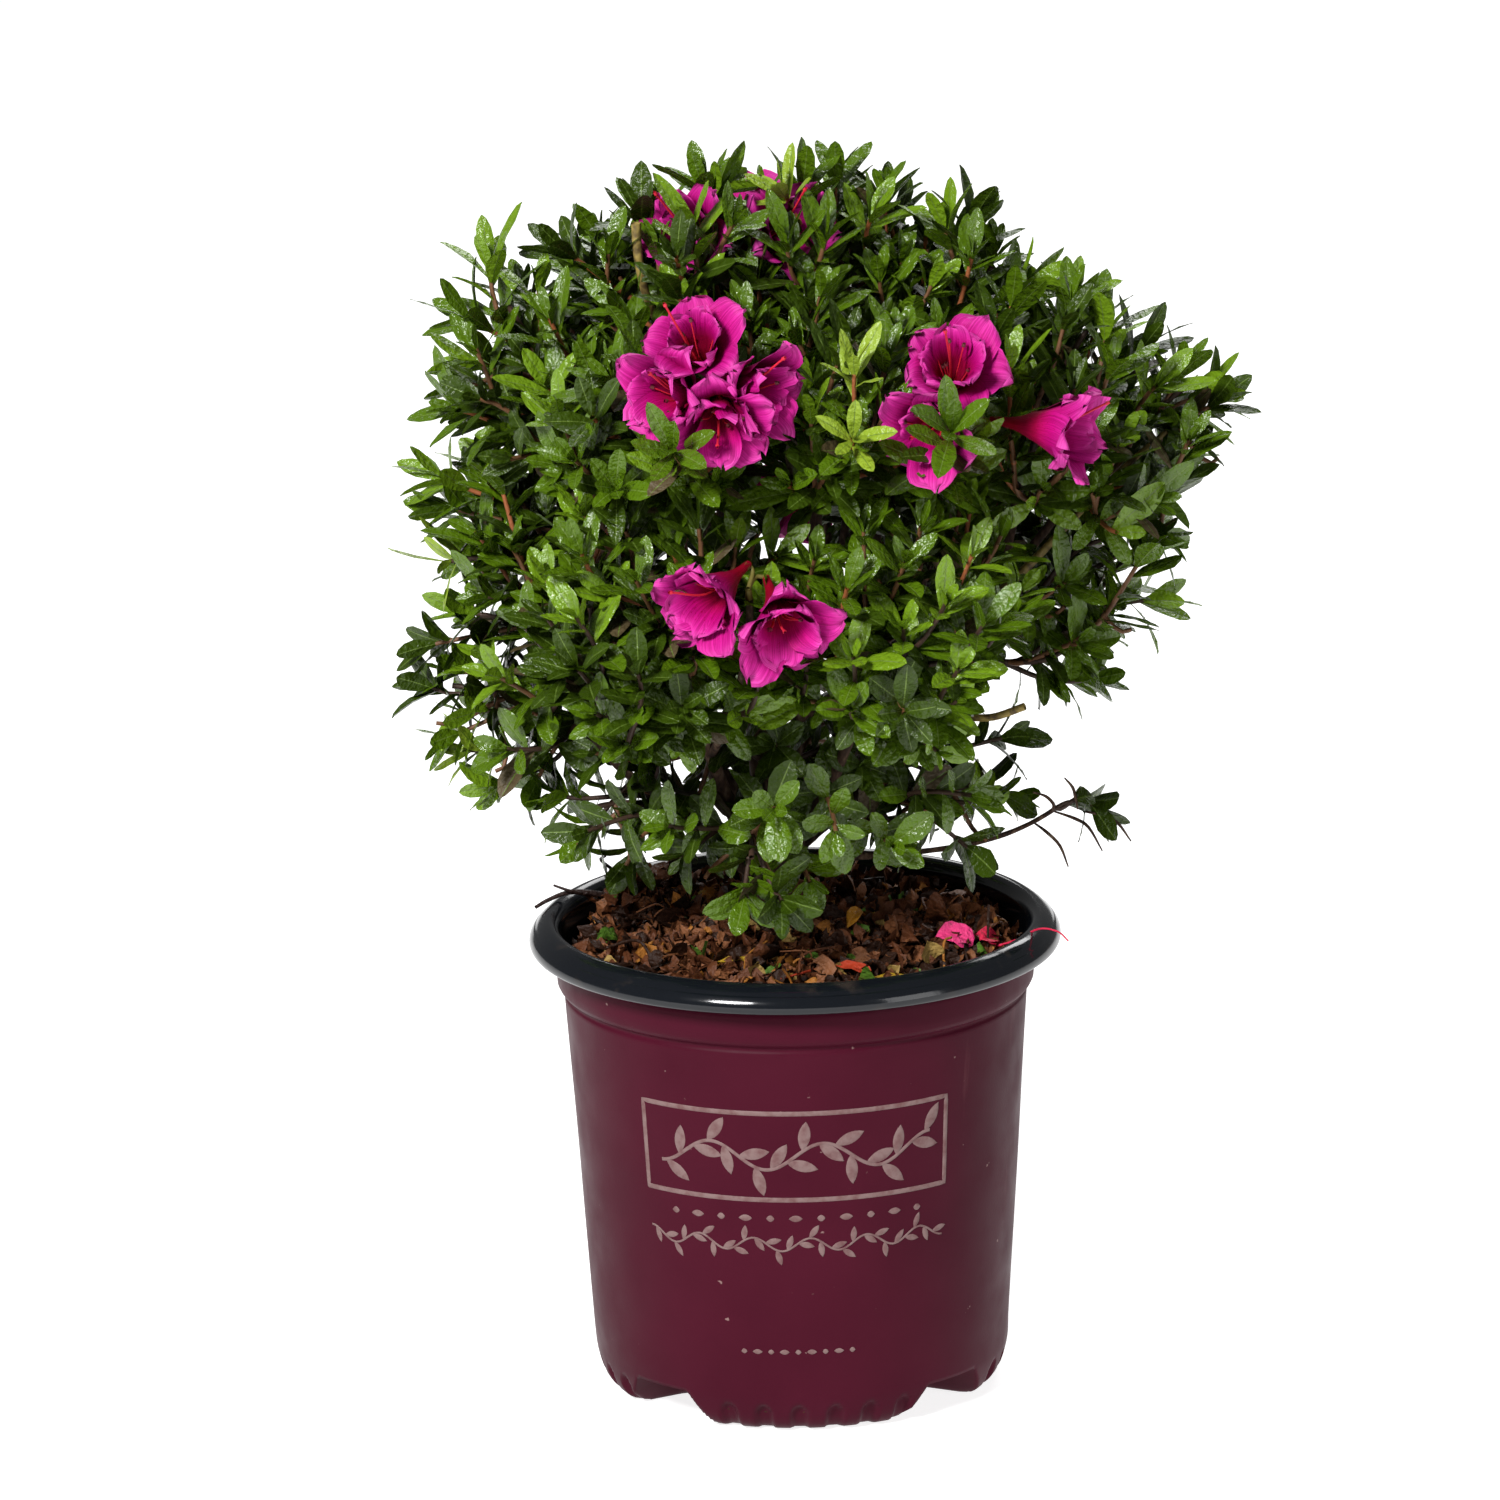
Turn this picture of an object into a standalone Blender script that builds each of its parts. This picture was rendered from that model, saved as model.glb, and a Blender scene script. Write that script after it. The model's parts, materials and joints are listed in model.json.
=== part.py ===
"""Azalea shrub in flower, growing in its round nursery pot.

One body: the pot, the potting mix, a short trunk, its boughs, the masses of
leaves and the trusses of flowers. The pot stands on z = 0 with its axis on Z,
and the front of the plant faces -Y. Lengths below are millimetres; MM turns
them into metres when a mesh is made.
"""

import math
import random

import bmesh
import bpy
import numpy as np
from mathutils import Vector
from mathutils.bvhtree import BVHTree

MM = 0.001
GAP = 0.3  # clearance between neighbouring solids
SLIVER = 0.001  # edges shorter than this are closed up
WELD = 0.0003  # points nearer than this may be taken as one
GOLDEN = math.pi * (3 - math.sqrt(5))
UP = Vector((0, 0, 1))

# Pot: thin blown wall on four feet, a band below a rolled lip
POT_SEGMENTS = 32
POT_TOP = 183.0
WALL = 1.6
FLOOR = 2.0
WALL_LOW_R = 79.2
WALL_LOW_Z = 16.0
WALL_HIGH_R = 88.2
WALL_HIGH_Z = 155.5
BAND_R = 90.8
LIP_Z = 172.6
LIP_R = 101.3
NOTCH_HALF = math.radians(12)
# (radius, height) from the floor out to the wall, on a foot and in a notch between feet
FOOT_LINE = ((50, 0), (67.8, 0), (77.2, 6))
NOTCH_LINE = ((50, 0), (57, 14.3), (78, 14.6))
# (radius less than the lip's, height above its underside) round the roll
LIP_ROLL = ((0.0, 1.9), (2.8, 7.9), (8.0, 10.4))
BRIM_DEPTH = 5.0  # of the rounded inner edge below the pot's top
STEP_RISE = 1.8  # of the step from the wall out to the band
FEET = 4

# Potting mix: mounded round the trunk, heaped at the left back
SOIL_TOP = 179.0
SOIL_FLAT_R = 27.0
SOIL_EDGE_Z = 166.0
SOIL_RINGS = (58.0, SOIL_FLAT_R)
HEAP_AT = (-56.0, 40.0)
HEAP_RISE = 10.0
HEAP_SPREAD = 20.0
MOUND_CURVE = 1.6  # how late the mound falls away

# Trunk: flat cut at the soil, root flare, fork at its top
TRUNK_FOOT = Vector((-11.0, 0.0, SOIL_TOP + GAP))
TRUNK_FORK = Vector((-7.0, 3.0, 226.0))
TRUNK_RISE = 16.0  # of its straight foot
TRUNK_LEAN = Vector((4.0, 3.5, 18.0))  # up to the fork
TRUNK_RADII = (14.0, 9.8, 8.8, 8.4, 8.2, 7.6)
TRUNK_SIDES = 9

# Boughs
LIMB_SIDES = 5
LIMB_STEPS = 4
LIMB_SAMPLES = 60
LIMB_CLEAR = 0.9
LIMB_TRIES = 60
TIP_RADIUS = 1.5
LIMB_SPLAY = 0.9  # how far a limb leaves its parent sideways
LIMB_FOLLOW = 0.35  # and along it
LIMB_RISE = 0.45  # how far it turns up at its end
LIMB_SWAY = 0.05  # sideways drift, of its length
LIMB_SWAY_MOST = 0.27
BEND_AT = 0.33  # of a limb's length, from each end
FORK_ROAM = 0.3  # how far along its parent a limb may slip to find its way
FORK_FROM = 0.25
FORK_TO = 0.97
LOW_LIMB = 0.75  # of the thickness of the trunk's other limbs

# Masses: twigs and leaves
HEART = Vector((-8.0, 0.0, 285.0))
TWIGS = 6
TWIG_SPREAD = 8.5  # a smaller space has a twig for each so many of its radius
TWIG_RADIUS = 1.2
TWIG_SHORTEST = 7.0
TWIG_LONGEST = 32.0
STEM_SIDES = 4
STEM_STEPS = 3
STEM_SWAY = 14.0
STEM_SHORTEST = 6.0
LEAF_LENGTH = 51.0
LEAF_OF_SPACE = 1.1  # longest leaf in its space's radii
LEAF_WIDTH = 0.44  # of the length
LEAF_THICK = 0.026  # of the length
LEAF_WIDEST = 0.52  # along the blade
LEAF_CLEAR = 0.6
LEAF_SCALES = (1.0, 0.86, 0.74, 0.62)
ROSETTE = 3
REGROWTHS = 12
TWIG_TRIES = 8
TWIG_SHORT_OF = 0.6  # leaf lengths that a twig ends short of its space's edge
LEAF_TRIES = 9
LEAF_TURN = 0.7
LEAF_SUNK = 0.1  # twig radii past the twig's middle
LEAF_SPACING = 4.0
LEAF_BACK = 1.5  # first leaf behind its twig's tip
END_SCALES = (1.0, 0.95, 0.9, 0.85, 0.8, 0.75, 0.7, 0.6)
STEM_SHORT_OF = 0.9  # leaf lengths that a stem ends short of its space's edge
LEAF_OPEN = (0.25, 0.8)  # how far a leaf leans out along its twig
LEAF_RISE = 0.1
FACE_RISE = 0.25
AIM_RISE = 0.25  # how far stems turn up on their way out from the heart
TWIG_FROM = 0.2  # along the stem
TWIG_RUN = 0.7
TWIG_SLIP = 0.04
TWIG_OUTWARD = 0.4
TWIG_STRAY = 0.15
TWIG_STRAY_MORE = 0.1  # at each further try
BRIM_REACH = 14.0  # how far over the mix the lip reaches in
MIX_CLEAR = 1.5
LIP_CLEAR = 2.0
REACH_STEP = 2.0
REACH_MOST = 120.0

# Flowers
TUBE_LENGTH = 17.0
TUBE_RADIUS = 1.6
THROAT_RADIUS = 5.5
PETAL_RADIUS = 20.5
PETAL_NOTCH = 11.5
PETAL_THICK = 1.1
PETALS = 5
CUP_DEPTH = 9.0
STALK_SUNK = 1.5  # into the flower's tube
TRUSS_FORK = 5.0  # from the stem's foot to its flowers' stalks

# name: (centre, radius, limb it grows from, how far along that limb)
MASSES = {
    "top_left": ((-42, 4, 436), 54, "trunk", 0.96),
    "top": ((18, 16, 436), 54, "trunk", 0.84),
    "upper_left": ((-92, 0, 402), 54, "trunk", 0.80),
    "far_right": ((136, 0, 373), 54, "top", 0.24),
    "front_left": ((-50, -76, 322), 56, "trunk", 0.60),
    "back_right": ((66, 78, 318), 58, "trunk", 0.72),
    "back_left": ((-64, 76, 322), 58, "trunk", 0.52),
    "front_right": ((46, -76, 318), 56, "trunk", 0.50),
    "low_left": ((-104, 2, 272), 54, "trunk", 0.62),
    "lower_right": ((58, -14, 240), 47, "trunk", 0.44),
    "lower_back": ((2, 62, 246), 50, "trunk", 0.40),
    "lower_front": ((-14, -52, 236), 46, "trunk", 0.34),
    "lower_left": ((-64, -22, 240), 46, "trunk", 0.45),
    "top_right": ((68, 0, 412), 55, "top", 0.52),
    "upper_right": ((100, -20, 396), 50, "far_right", 0.62),
    "right": ((108, 4, 312), 51, "trunk", 0.66),
    "left": ((-98, 4, 342), 54, "upper_left", 0.44),
    "upper_front_left": ((-46, -62, 392), 52, "top_left", 0.46),
    "upper_front_right": ((32, -66, 392), 52, "top", 0.40),
    "upper_back_left": ((-48, 68, 396), 56, "back_left", 0.62),
    "upper_back_right": ((48, 72, 392), 56, "back_right", 0.62),
    "stray_right": ((111, -6, 226), 26, "lower_right", 0.42),
}

# name: (limb it grows from, how far along, (flower centre, flower facing)...)
TRUSSES = {
    "bloom_top": (
        "top_left", 0.74,
        ((-30, -34, 455), (-0.5, -1.0, 0.5)),
        ((4, -30, 452), (0.6, -1.0, 0.3)),
    ),
    "bloom_left": (
        "upper_front_left", 0.72,
        ((-38, -112, 429), (-0.3, -1.0, 0.7)),
        ((-45, -118, 408), (-0.9, -1.0, -0.2)),
        ((-18, -120, 404), (0.2, -1.0, -0.3)),
        ((-3, -108, 416), (1.0, -0.8, 0.1)),
    ),
    "bloom_right": (
        "upper_front_right", 0.74,
        ((60, -98, 420), (-0.2, -1.0, 0.7)),
        ((60, -104, 396), (0.0, -1.0, -0.3)),
        ((100, -78, 389), (1.0, -0.5, -0.1)),
    ),
    "bloom_low": (
        "front_left", 0.72,
        ((-29, -126, 341), (-0.4, -1.0, 0.3)),
        ((-2, -130, 329), (0.3, -1.0, -0.2)),
    ),
    "bloom_back_left": (
        "upper_back_left", 0.70,
        ((-14, 118, 426), (-0.1, 1.0, 0.6)),
        ((4, 126, 406), (0.5, 1.0, -0.1)),
    ),
    "bloom_back_right": (
        "back_right", 0.72,
        ((20, 128, 338), (-0.4, 1.0, 0.3)),
        ((6, 118, 318), (-0.6, 1.0, -0.4)),
    ),
}

LIMB_BASE = {"trunk": 3.7, "top": 2.6, "far_right": 2.6, "upper_left": 2.6}
LIMB_BASE_OTHER = 2.2
BLOOM_LIMB_BASE = 1.7
BLOOM_SPACE = 25.0  # radius of a truss's space, for one flower
BLOOM_SPREAD = 0.8  # more of it for each unit that the flowers lie apart
BLOOM_BEHIND = 6.0  # its middle behind theirs


# ---------------------------------------------------------------- meshes


def clear_scene():
    for ob in list(bpy.data.objects):
        bpy.data.objects.remove(ob, do_unlink=True)


def material(name, colour, roughness, specular=0.5):
    mat = bpy.data.materials.new(name)
    mat.use_nodes = True
    bsdf = mat.node_tree.nodes["Principled BSDF"]
    bsdf.inputs["Base Color"].default_value = (*colour, 1)
    bsdf.inputs["Roughness"].default_value = roughness
    bsdf.inputs["Metallic"].default_value = 0.0
    bsdf.inputs["Specular IOR Level"].default_value = specular
    return mat


def make_object(name, verts, faces, mats):
    """An object from points in millimetres."""
    mesh = bpy.data.meshes.new(name)
    mesh.from_pydata([Vector(v) * MM for v in verts], [], faces)
    for mat in mats:
        mesh.materials.append(mat)
    mesh.update()
    ob = bpy.data.objects.new(name, mesh)
    bpy.context.scene.collection.objects.link(ob)
    return ob


def tube(points, radii, sides, headings=None):
    """Points and faces of a closed tube along a path, with flat ends square to it."""
    verts, faces = [], []
    headings = headings or [(points[-1] - points[0]).normalized()] * len(points)
    side = headings[0].orthogonal().normalized()
    for k, p in enumerate(points):
        ahead = headings[k]
        side = (side - ahead * side.dot(ahead)).normalized()
        across = ahead.cross(side)
        for j in range(sides):
            a = math.tau * j / sides
            verts.append(p + (side * math.cos(a) + across * math.sin(a)) * radii[k])
    for k in range(len(points) - 1):
        for j in range(sides):
            a, b = k * sides + j, k * sides + (j + 1) % sides
            faces.append((a, b, b + sides, a + sides))
    faces.append(tuple(reversed(range(sides))))
    faces.append(tuple(range((len(points) - 1) * sides, len(points) * sides)))
    return verts, faces


def blade(root, direction, normal, length):
    """A leaf of eight faces: pointed at both ends, thickest at its middle."""
    side = direction.cross(normal).normalized()
    rise = side.cross(direction).normalized()
    mid = root + direction * length * LEAF_WIDEST
    wide = side * length * LEAF_WIDTH / 2
    thick = rise * length * LEAF_THICK / 2
    verts = [root, mid + wide, mid + thick, mid - wide, mid - thick, root + direction * length]
    faces = []
    for j in range(4):
        a, b = 1 + j, 1 + (j + 1) % 4
        faces += [(0, a, b), (5, b, a)]
    return verts, faces


def outward(verts, faces):
    """The faces turned so that the closed shape points outward."""
    volume = 0
    for f in faces:
        for j in range(1, len(f) - 1):
            volume += Vector(verts[f[0]]).dot(Vector(verts[f[j]]).cross(Vector(verts[f[j + 1]])))
    return faces if volume > 0 else [tuple(reversed(f)) for f in faces]


def keep_main_shell(ob):
    """Drops slivers, loose scraps and the walls of sealed hollows."""
    bm = bmesh.new()
    bm.from_mesh(ob.data)
    bmesh.ops.dissolve_degenerate(bm, dist=SLIVER * MM, edges=bm.edges)
    left = set(bm.faces)
    shells = []
    while left:
        shell, edge = set(), [left.pop()]
        while edge:
            face = edge.pop()
            shell.add(face)
            near = {g for e in face.edges for g in e.link_faces} & left
            left -= near
            edge += near
        shells.append(shell)
    main = max(shells, key=lambda s: sum(f.calc_area() for f in s))
    drop = [f for s in shells if s is not main for f in s]
    bmesh.ops.delete(bm, geom=drop, context="FACES")
    bm.to_mesh(ob.data)
    bm.free()


def is_sound(ob):
    """Whether a mesh is closed and stays so when its nearest points are welded."""
    bm = bmesh.new()
    bm.from_mesh(ob.data)
    bmesh.ops.triangulate(bm, faces=bm.faces)
    bmesh.ops.remove_doubles(bm, verts=bm.verts, dist=WELD * MM)
    sound = all(e.is_manifold and e.is_contiguous for e in bm.edges)
    bm.free()
    return sound


def apply_boolean(ob, operation, solver, target=None, collection=None):
    mod = ob.modifiers.new("join", "BOOLEAN")
    mod.operation = operation
    mod.solver = solver
    if collection:
        mod.operand_type = "COLLECTION"
        mod.collection = collection
    else:
        mod.object = target
    deps = bpy.context.evaluated_depsgraph_get()
    mesh = bpy.data.meshes.new_from_object(ob.evaluated_get(deps))
    ob.modifiers.clear()
    ob.data = mesh


def fuse(name, shapes, mat):
    """One solid from many closed shapes, by one union on a collection."""
    group = bpy.data.collections.new(name + "_pieces")
    bpy.context.scene.collection.children.link(group)
    first, *others = shapes
    ob = make_object(name, first[0], outward(*first), [mat])
    for k, (verts, faces) in enumerate(others):
        piece = make_object(f"{name}_piece_{k}", verts, outward(verts, faces), [mat])
        bpy.context.scene.collection.objects.unlink(piece)
        group.objects.link(piece)
    apply_boolean(ob, "UNION", "MANIFOLD", collection=group)
    for piece in list(group.objects):
        bpy.data.objects.remove(piece, do_unlink=True)
    bpy.data.collections.remove(group)
    keep_main_shell(ob)
    return ob


# ---------------------------------------------------------------- pot


def in_notch(angle):
    step = math.tau / FEET
    off = (angle - step / 2) % step
    return min(off, step - off) < NOTCH_HALF


def pot_section(notch, inset):
    """(radius, height) up the foot of the pot, or of anything inset in it."""
    rise = FLOOR + inset - WALL if inset else 0.0
    line = (*(NOTCH_LINE if notch else FOOT_LINE), (WALL_LOW_R, WALL_LOW_Z))
    return [(r - inset, z + rise) for r, z in line]


def wall_radius(z):
    t = (z - WALL_LOW_Z) / (WALL_HIGH_Z - WALL_LOW_Z)
    return WALL_LOW_R + t * (WALL_HIGH_R - WALL_LOW_R)


def lathe(sections, low_pole, high_pole, turned_from):
    """A closed shape from one section per segment, between two poles.

    Faces are split along matching diagonals inside and outside the wall, so
    that shapes nested at a small offset stay clear where the feet slant.
    """
    rows = len(sections[0])
    verts, faces, on_row = [], [], []
    for k, line in enumerate(sections):
        a = math.tau * k / POT_SEGMENTS
        verts += [Vector((r * math.sin(a), -r * math.cos(a), z)) for r, z in line]
    low, high = len(verts), len(verts) + 1
    verts += [Vector(low_pole), Vector(high_pole)]
    for k in range(POT_SEGMENTS):
        a, b = k * rows, (k + 1) % POT_SEGMENTS * rows
        faces.append((low, b, a))
        on_row.append(0)
        for j in range(rows - 1):
            near, far, far_up, near_up = a + j, b + j, b + j + 1, a + j + 1
            if j >= turned_from:
                faces += [(near, far, near_up), (far, far_up, near_up)]
            else:
                faces += [(near, far, far_up), (near, far_up, near_up)]
            on_row += [j, j]
        faces.append((high, a + rows - 1, b + rows - 1))
        on_row.append(rows)
    return verts, faces, on_row


def make_pot(shell, lip):
    outside = [
        (WALL_HIGH_R, WALL_HIGH_Z - STEP_RISE),
        (BAND_R, WALL_HIGH_Z + STEP_RISE),
        (BAND_R, LIP_Z),
    ]
    rolled = [(LIP_R - r, LIP_Z + z) for r, z in LIP_ROLL]
    inside = [
        (BAND_R - WALL, POT_TOP - BRIM_DEPTH),
        (BAND_R - WALL, WALL_HIGH_Z + STEP_RISE + 0.6),
        (WALL_HIGH_R - WALL - 0.2, WALL_HIGH_Z - STEP_RISE),
    ]
    sections = []
    for k in range(POT_SEGMENTS):
        notch = in_notch(math.tau * k / POT_SEGMENTS)
        within = pot_section(notch, WALL)
        sections.append(pot_section(notch, 0) + outside + rolled + inside + within[::-1])
    black_from = len(pot_section(False, 0)) + len(outside)
    verts, faces, on_row = lathe(sections, (0, 0, 0), (0, 0, FLOOR), black_from)
    ob = make_object("pot", verts, outward(verts, faces), [shell, lip])
    ob.data.polygons.foreach_set("material_index", [int(row >= black_from) for row in on_row])
    ob.data.shade_smooth()
    ob.data.set_sharp_from_angle(angle=math.radians(35))


def soil_height(x, y):
    """The mix is flat round the trunk, falls to the wall and is heaped at one side."""
    r = math.hypot(x, y)
    edge = wall_radius(SOIL_EDGE_Z)
    t = max(0.0, (r - SOIL_FLAT_R) / (edge - SOIL_FLAT_R))
    mound = SOIL_TOP - (SOIL_TOP - SOIL_EDGE_Z) * t ** MOUND_CURVE
    away = math.hypot(x - HEAP_AT[0], y - HEAP_AT[1]) / HEAP_SPREAD
    return mound + HEAP_RISE * math.exp(-away * away) * min(1.0, t * 4)


def make_soil(mat):
    inset = WALL + GAP
    sections = []
    for k in range(POT_SEGMENTS):
        a = math.tau * k / POT_SEGMENTS
        line = pot_section(in_notch(a), inset)
        brim = wall_radius(SOIL_EDGE_Z) - inset - 0.2
        rings = (brim, *SOIL_RINGS)
        line += [(r, soil_height(r * math.sin(a), -r * math.cos(a))) for r in rings]
        sections.append(line)
    rows = len(sections[0])
    verts, faces, _ = lathe(sections, (0, 0, FLOOR + GAP), (0, 0, SOIL_TOP), rows)
    ob = make_object("potting_mix", verts, outward(verts, faces), [mat])
    ob.data.shade_smooth()
    ob.data.set_sharp_from_angle(angle=math.radians(40))


# ---------------------------------------------------------------- spaces


def spaces():
    """The ball that each mass and each truss keeps to, cut from its neighbours' by planes."""
    found = {name: (Vector(row[0]), float(row[1])) for name, row in MASSES.items()}
    for name, (_, _, *flowers) in TRUSSES.items():
        centres = [Vector(place) for place, _ in flowers]
        middle = sum(centres, Vector()) / len(centres)
        spread = max((c - middle).length for c in centres)
        behind = Vector((0, -math.copysign(BLOOM_BEHIND, middle.y), 0))
        found[name] = (middle + behind, BLOOM_SPACE + spread * BLOOM_SPREAD)
    return found


def inside(space, name, point, clear=GAP):
    """Whether a point lies in its own ball and on its own side of every plane."""
    centre, radius = space[name]
    own = (point - centre).length_squared - radius * radius
    if own > 0:
        return False
    for other, (c, r) in space.items():
        if other == name:
            continue
        apart = (c - centre).length
        if apart > radius + r:
            continue
        power = (point - c).length_squared - r * r
        if (power - own) / (2 * apart) < clear:
            return False
    return True


def above_pot(point):
    r = math.hypot(point.x, point.y)
    if r < LIP_R - BRIM_REACH:
        return point.z > soil_height(point.x, point.y) + MIX_CLEAR
    return point.z > POT_TOP + LIP_CLEAR


def roomy(space, name, points):
    """Whether all points lie in their own space and clear of the pot."""
    return all(inside(space, name, p) and above_pot(p) for p in points)


def reach(space, name, origin, direction):
    """How far a straight line from a point stays inside its space."""
    out = 0.0
    while out < REACH_MOST:
        beyond = origin + direction * (out + REACH_STEP)
        if not roomy(space, name, [beyond]):
            break
        out += REACH_STEP
    return out


# ---------------------------------------------------------------- limbs


class Limb:
    """One tapering limb along a smooth path."""

    def __init__(self, name, ends, radii, steps, sides, parent=None):
        self.name, self.parent, self.sides = name, parent, sides
        self.ends, self.radii, self.steps = ends, radii, steps
        t = np.linspace(0, 1, LIMB_SAMPLES)
        self.samples = np.array([self.at(u)[:] for u in t])
        self.thick = np.array([self.radius(u) for u in t])

    def at(self, t):
        a, b, c, d = self.ends
        s = 1 - t
        return a * s ** 3 + b * 3 * s * s * t + c * 3 * s * t * t + d * t ** 3

    def along(self, t):
        a, b, c, d = self.ends
        s = 1 - t
        return ((b - a) * 3 * s * s + (c - b) * 6 * s * t + (d - c) * 3 * t * t).normalized()

    def radius(self, t):
        place = t * (len(self.radii) - 1)
        k = min(int(place), len(self.radii) - 2)
        return self.radii[k] + (self.radii[k + 1] - self.radii[k]) * (place - k)

    def shape(self, grow=0.0):
        """The limb's tube, or one that is larger all round."""
        params = [k / self.steps for k in range(self.steps + 1)]
        points = [self.at(t) for t in params]
        radii = [self.radius(t) + grow / math.cos(math.pi / self.sides) for t in params]
        points[0] = points[0] - self.along(0) * grow
        points[-1] = points[-1] + self.along(1) * grow
        return tube(points, radii, self.sides, [self.along(t) for t in params])

    def outside(self, points, margin):
        """Which points lie clear of this limb's surface, or past its end."""
        far = np.linalg.norm(points[:, None] - self.samples[None], axis=2) - self.thick[None]
        past = (points - np.array(self.ends[3])) @ np.array(self.along(1))
        return (far.min(axis=1) > margin) | (past > 0)

    def clear_of(self, others):
        """Whether this limb keeps its distance from every limb but its parent's skin."""
        free = np.ones(len(self.samples), bool)
        if self.parent:
            free = self.parent.outside(self.samples, -0.4 * self.thick[0])
            left = np.argmax(free)
            if not free.any() or not free[left:].all():
                return False
            rest = self.samples[left + LIMB_SAMPLES // 4:]
            room = self.thick[left + LIMB_SAMPLES // 4:].max() + LIMB_CLEAR
            if not self.parent.outside(rest, room).all():
                return False
        for other in others:
            if other is self.parent:
                continue
            far = np.linalg.norm(self.samples[free][:, None] - other.samples[None], axis=2)
            far -= self.thick[free][:, None] + other.thick[None]
            if self.parent is other.parent:
                far = far[:, other.free]
            if far.min() < LIMB_CLEAR:
                return False
        self.free = free
        return True


def grow_limb(name, parent, where, goal, base, limbs):
    """A limb that leaves its parent's side and bends up to its goal, clear of the others."""
    rng = random.Random(name)
    for attempt in range(LIMB_TRIES):
        loose = attempt / LIMB_TRIES
        t = min(FORK_TO, max(FORK_FROM, where + rng.uniform(-FORK_ROAM, FORK_ROAM) * loose))
        start = parent.at(t)
        heading = (goal - start).normalized()
        flat = Vector((heading.x, heading.y, 0))
        start = start + flat.normalized() * max(0.0, parent.radius(t) - base) * 0.8
        run = (goal - start).length
        leave = (heading + flat * LIMB_SPLAY + parent.along(t) * LIMB_FOLLOW).normalized()
        sway = Vector([rng.uniform(-1, 1) for _ in range(3)]) * run
        sway *= LIMB_SWAY + (LIMB_SWAY_MOST - LIMB_SWAY) * loose
        bend = start + leave * run * BEND_AT + sway / 2
        arrive = goal - (heading + UP * LIMB_RISE).normalized() * run * BEND_AT + sway
        limb = Limb(name, (start, bend, arrive, goal), (base, base * 0.8, TIP_RADIUS),
                    LIMB_STEPS, LIMB_SIDES, parent)
        if limb.clear_of(limbs):
            return limb
    raise RuntimeError("no clear way for " + name)


def grow_limbs(space):
    ends = (TRUNK_FOOT, TRUNK_FOOT + UP * TRUNK_RISE, TRUNK_FORK - TRUNK_LEAN, TRUNK_FORK)
    trunk = Limb("trunk", ends, TRUNK_RADII, 6, TRUNK_SIDES)
    trunk.free = np.ones(LIMB_SAMPLES, bool)
    limbs = {"trunk": trunk}
    rows = [(name, row[2], row[3]) for name, row in MASSES.items()]
    rows += [(name, row[0], row[1]) for name, row in TRUSSES.items()]
    for name, parent, where in rows:
        stock = limbs[parent]
        centre = space[name][0]
        back = (stock.at(where) - centre).normalized()
        goal = centre + back * max(4.0, reach(space, name, centre, back) - 1.0)
        base = LIMB_BASE.get(parent, LIMB_BASE_OTHER)
        if name in TRUSSES:
            base = BLOOM_LIMB_BASE
        if parent == "trunk" and name.startswith(("lower", "low_")):
            base *= LOW_LIMB
        limbs[name] = grow_limb(name, stock, where, goal, base, list(limbs.values()))
    return limbs


def make_limbs(limbs, mat):
    for name, limb in limbs.items():
        verts, faces = limb.shape()
        title = name if name == "trunk" else "bough_" + name
        ob = make_object(title, verts, outward(verts, faces), [mat])
        if limb.parent:
            verts, faces = limb.parent.shape(GAP)
            cutter = make_object("cutter", verts, outward(verts, faces), [])
            cutter.hide_render = True
            cutter.display_type = "WIRE"
            apply_boolean(ob, "DIFFERENCE", "EXACT", target=cutter)
            bpy.data.objects.remove(cutter, do_unlink=True)
            keep_main_shell(ob)
        ob.data.shade_smooth()
        ob.data.set_sharp_from_angle(angle=math.radians(80))


# ---------------------------------------------------------------- masses


class Thicket:
    """The limbs, a little enlarged, for testing what would touch them."""

    def __init__(self, limbs):
        self.trees = {}
        for name, limb in limbs.items():
            verts, faces = limb.shape(LEAF_CLEAR)
            self.trees[name] = BVHTree.FromPolygons(verts, faces)

    def touched(self, shape, spare=None):
        tree = BVHTree.FromPolygons(*shape)
        return any(tree.overlap(other) for name, other in self.trees.items() if name != spare)


def fibonacci(k, count):
    z = 1 - (2 * k + 1) / count
    r = math.sqrt(1 - z * z)
    return Vector((r * math.cos(GOLDEN * k), r * math.sin(GOLDEN * k), z))


def grow_stem(space, name, limb, aim, thicket, rng):
    """The stem that goes on from its bough's tip to the outer side of its space."""
    start = limb.at(1) + limb.along(1) * GAP
    for attempt in range(LIMB_TRIES):
        sway = Vector([rng.uniform(-1, 1) for _ in range(3)]) * STEM_SWAY * attempt / LIMB_TRIES
        centre = space[name][0] + sway
        room = reach(space, name, centre, aim)
        end = centre + aim * max(STEM_SHORTEST, room - LEAF_LENGTH * STEM_SHORT_OF)
        run = (end - start).length
        ends = (start, start + limb.along(1) * run * BEND_AT, end - aim * run * BEND_AT, end)
        stem = Limb(name, ends, (TIP_RADIUS, TWIG_RADIUS), STEM_STEPS, STEM_SIDES)
        shape = stem.shape()
        beyond = shape[0][STEM_SIDES:]
        if roomy(space, name, beyond) and not thicket.touched(shape, name):
            return stem
    raise RuntimeError("no clear way for the stem of " + name)


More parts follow.
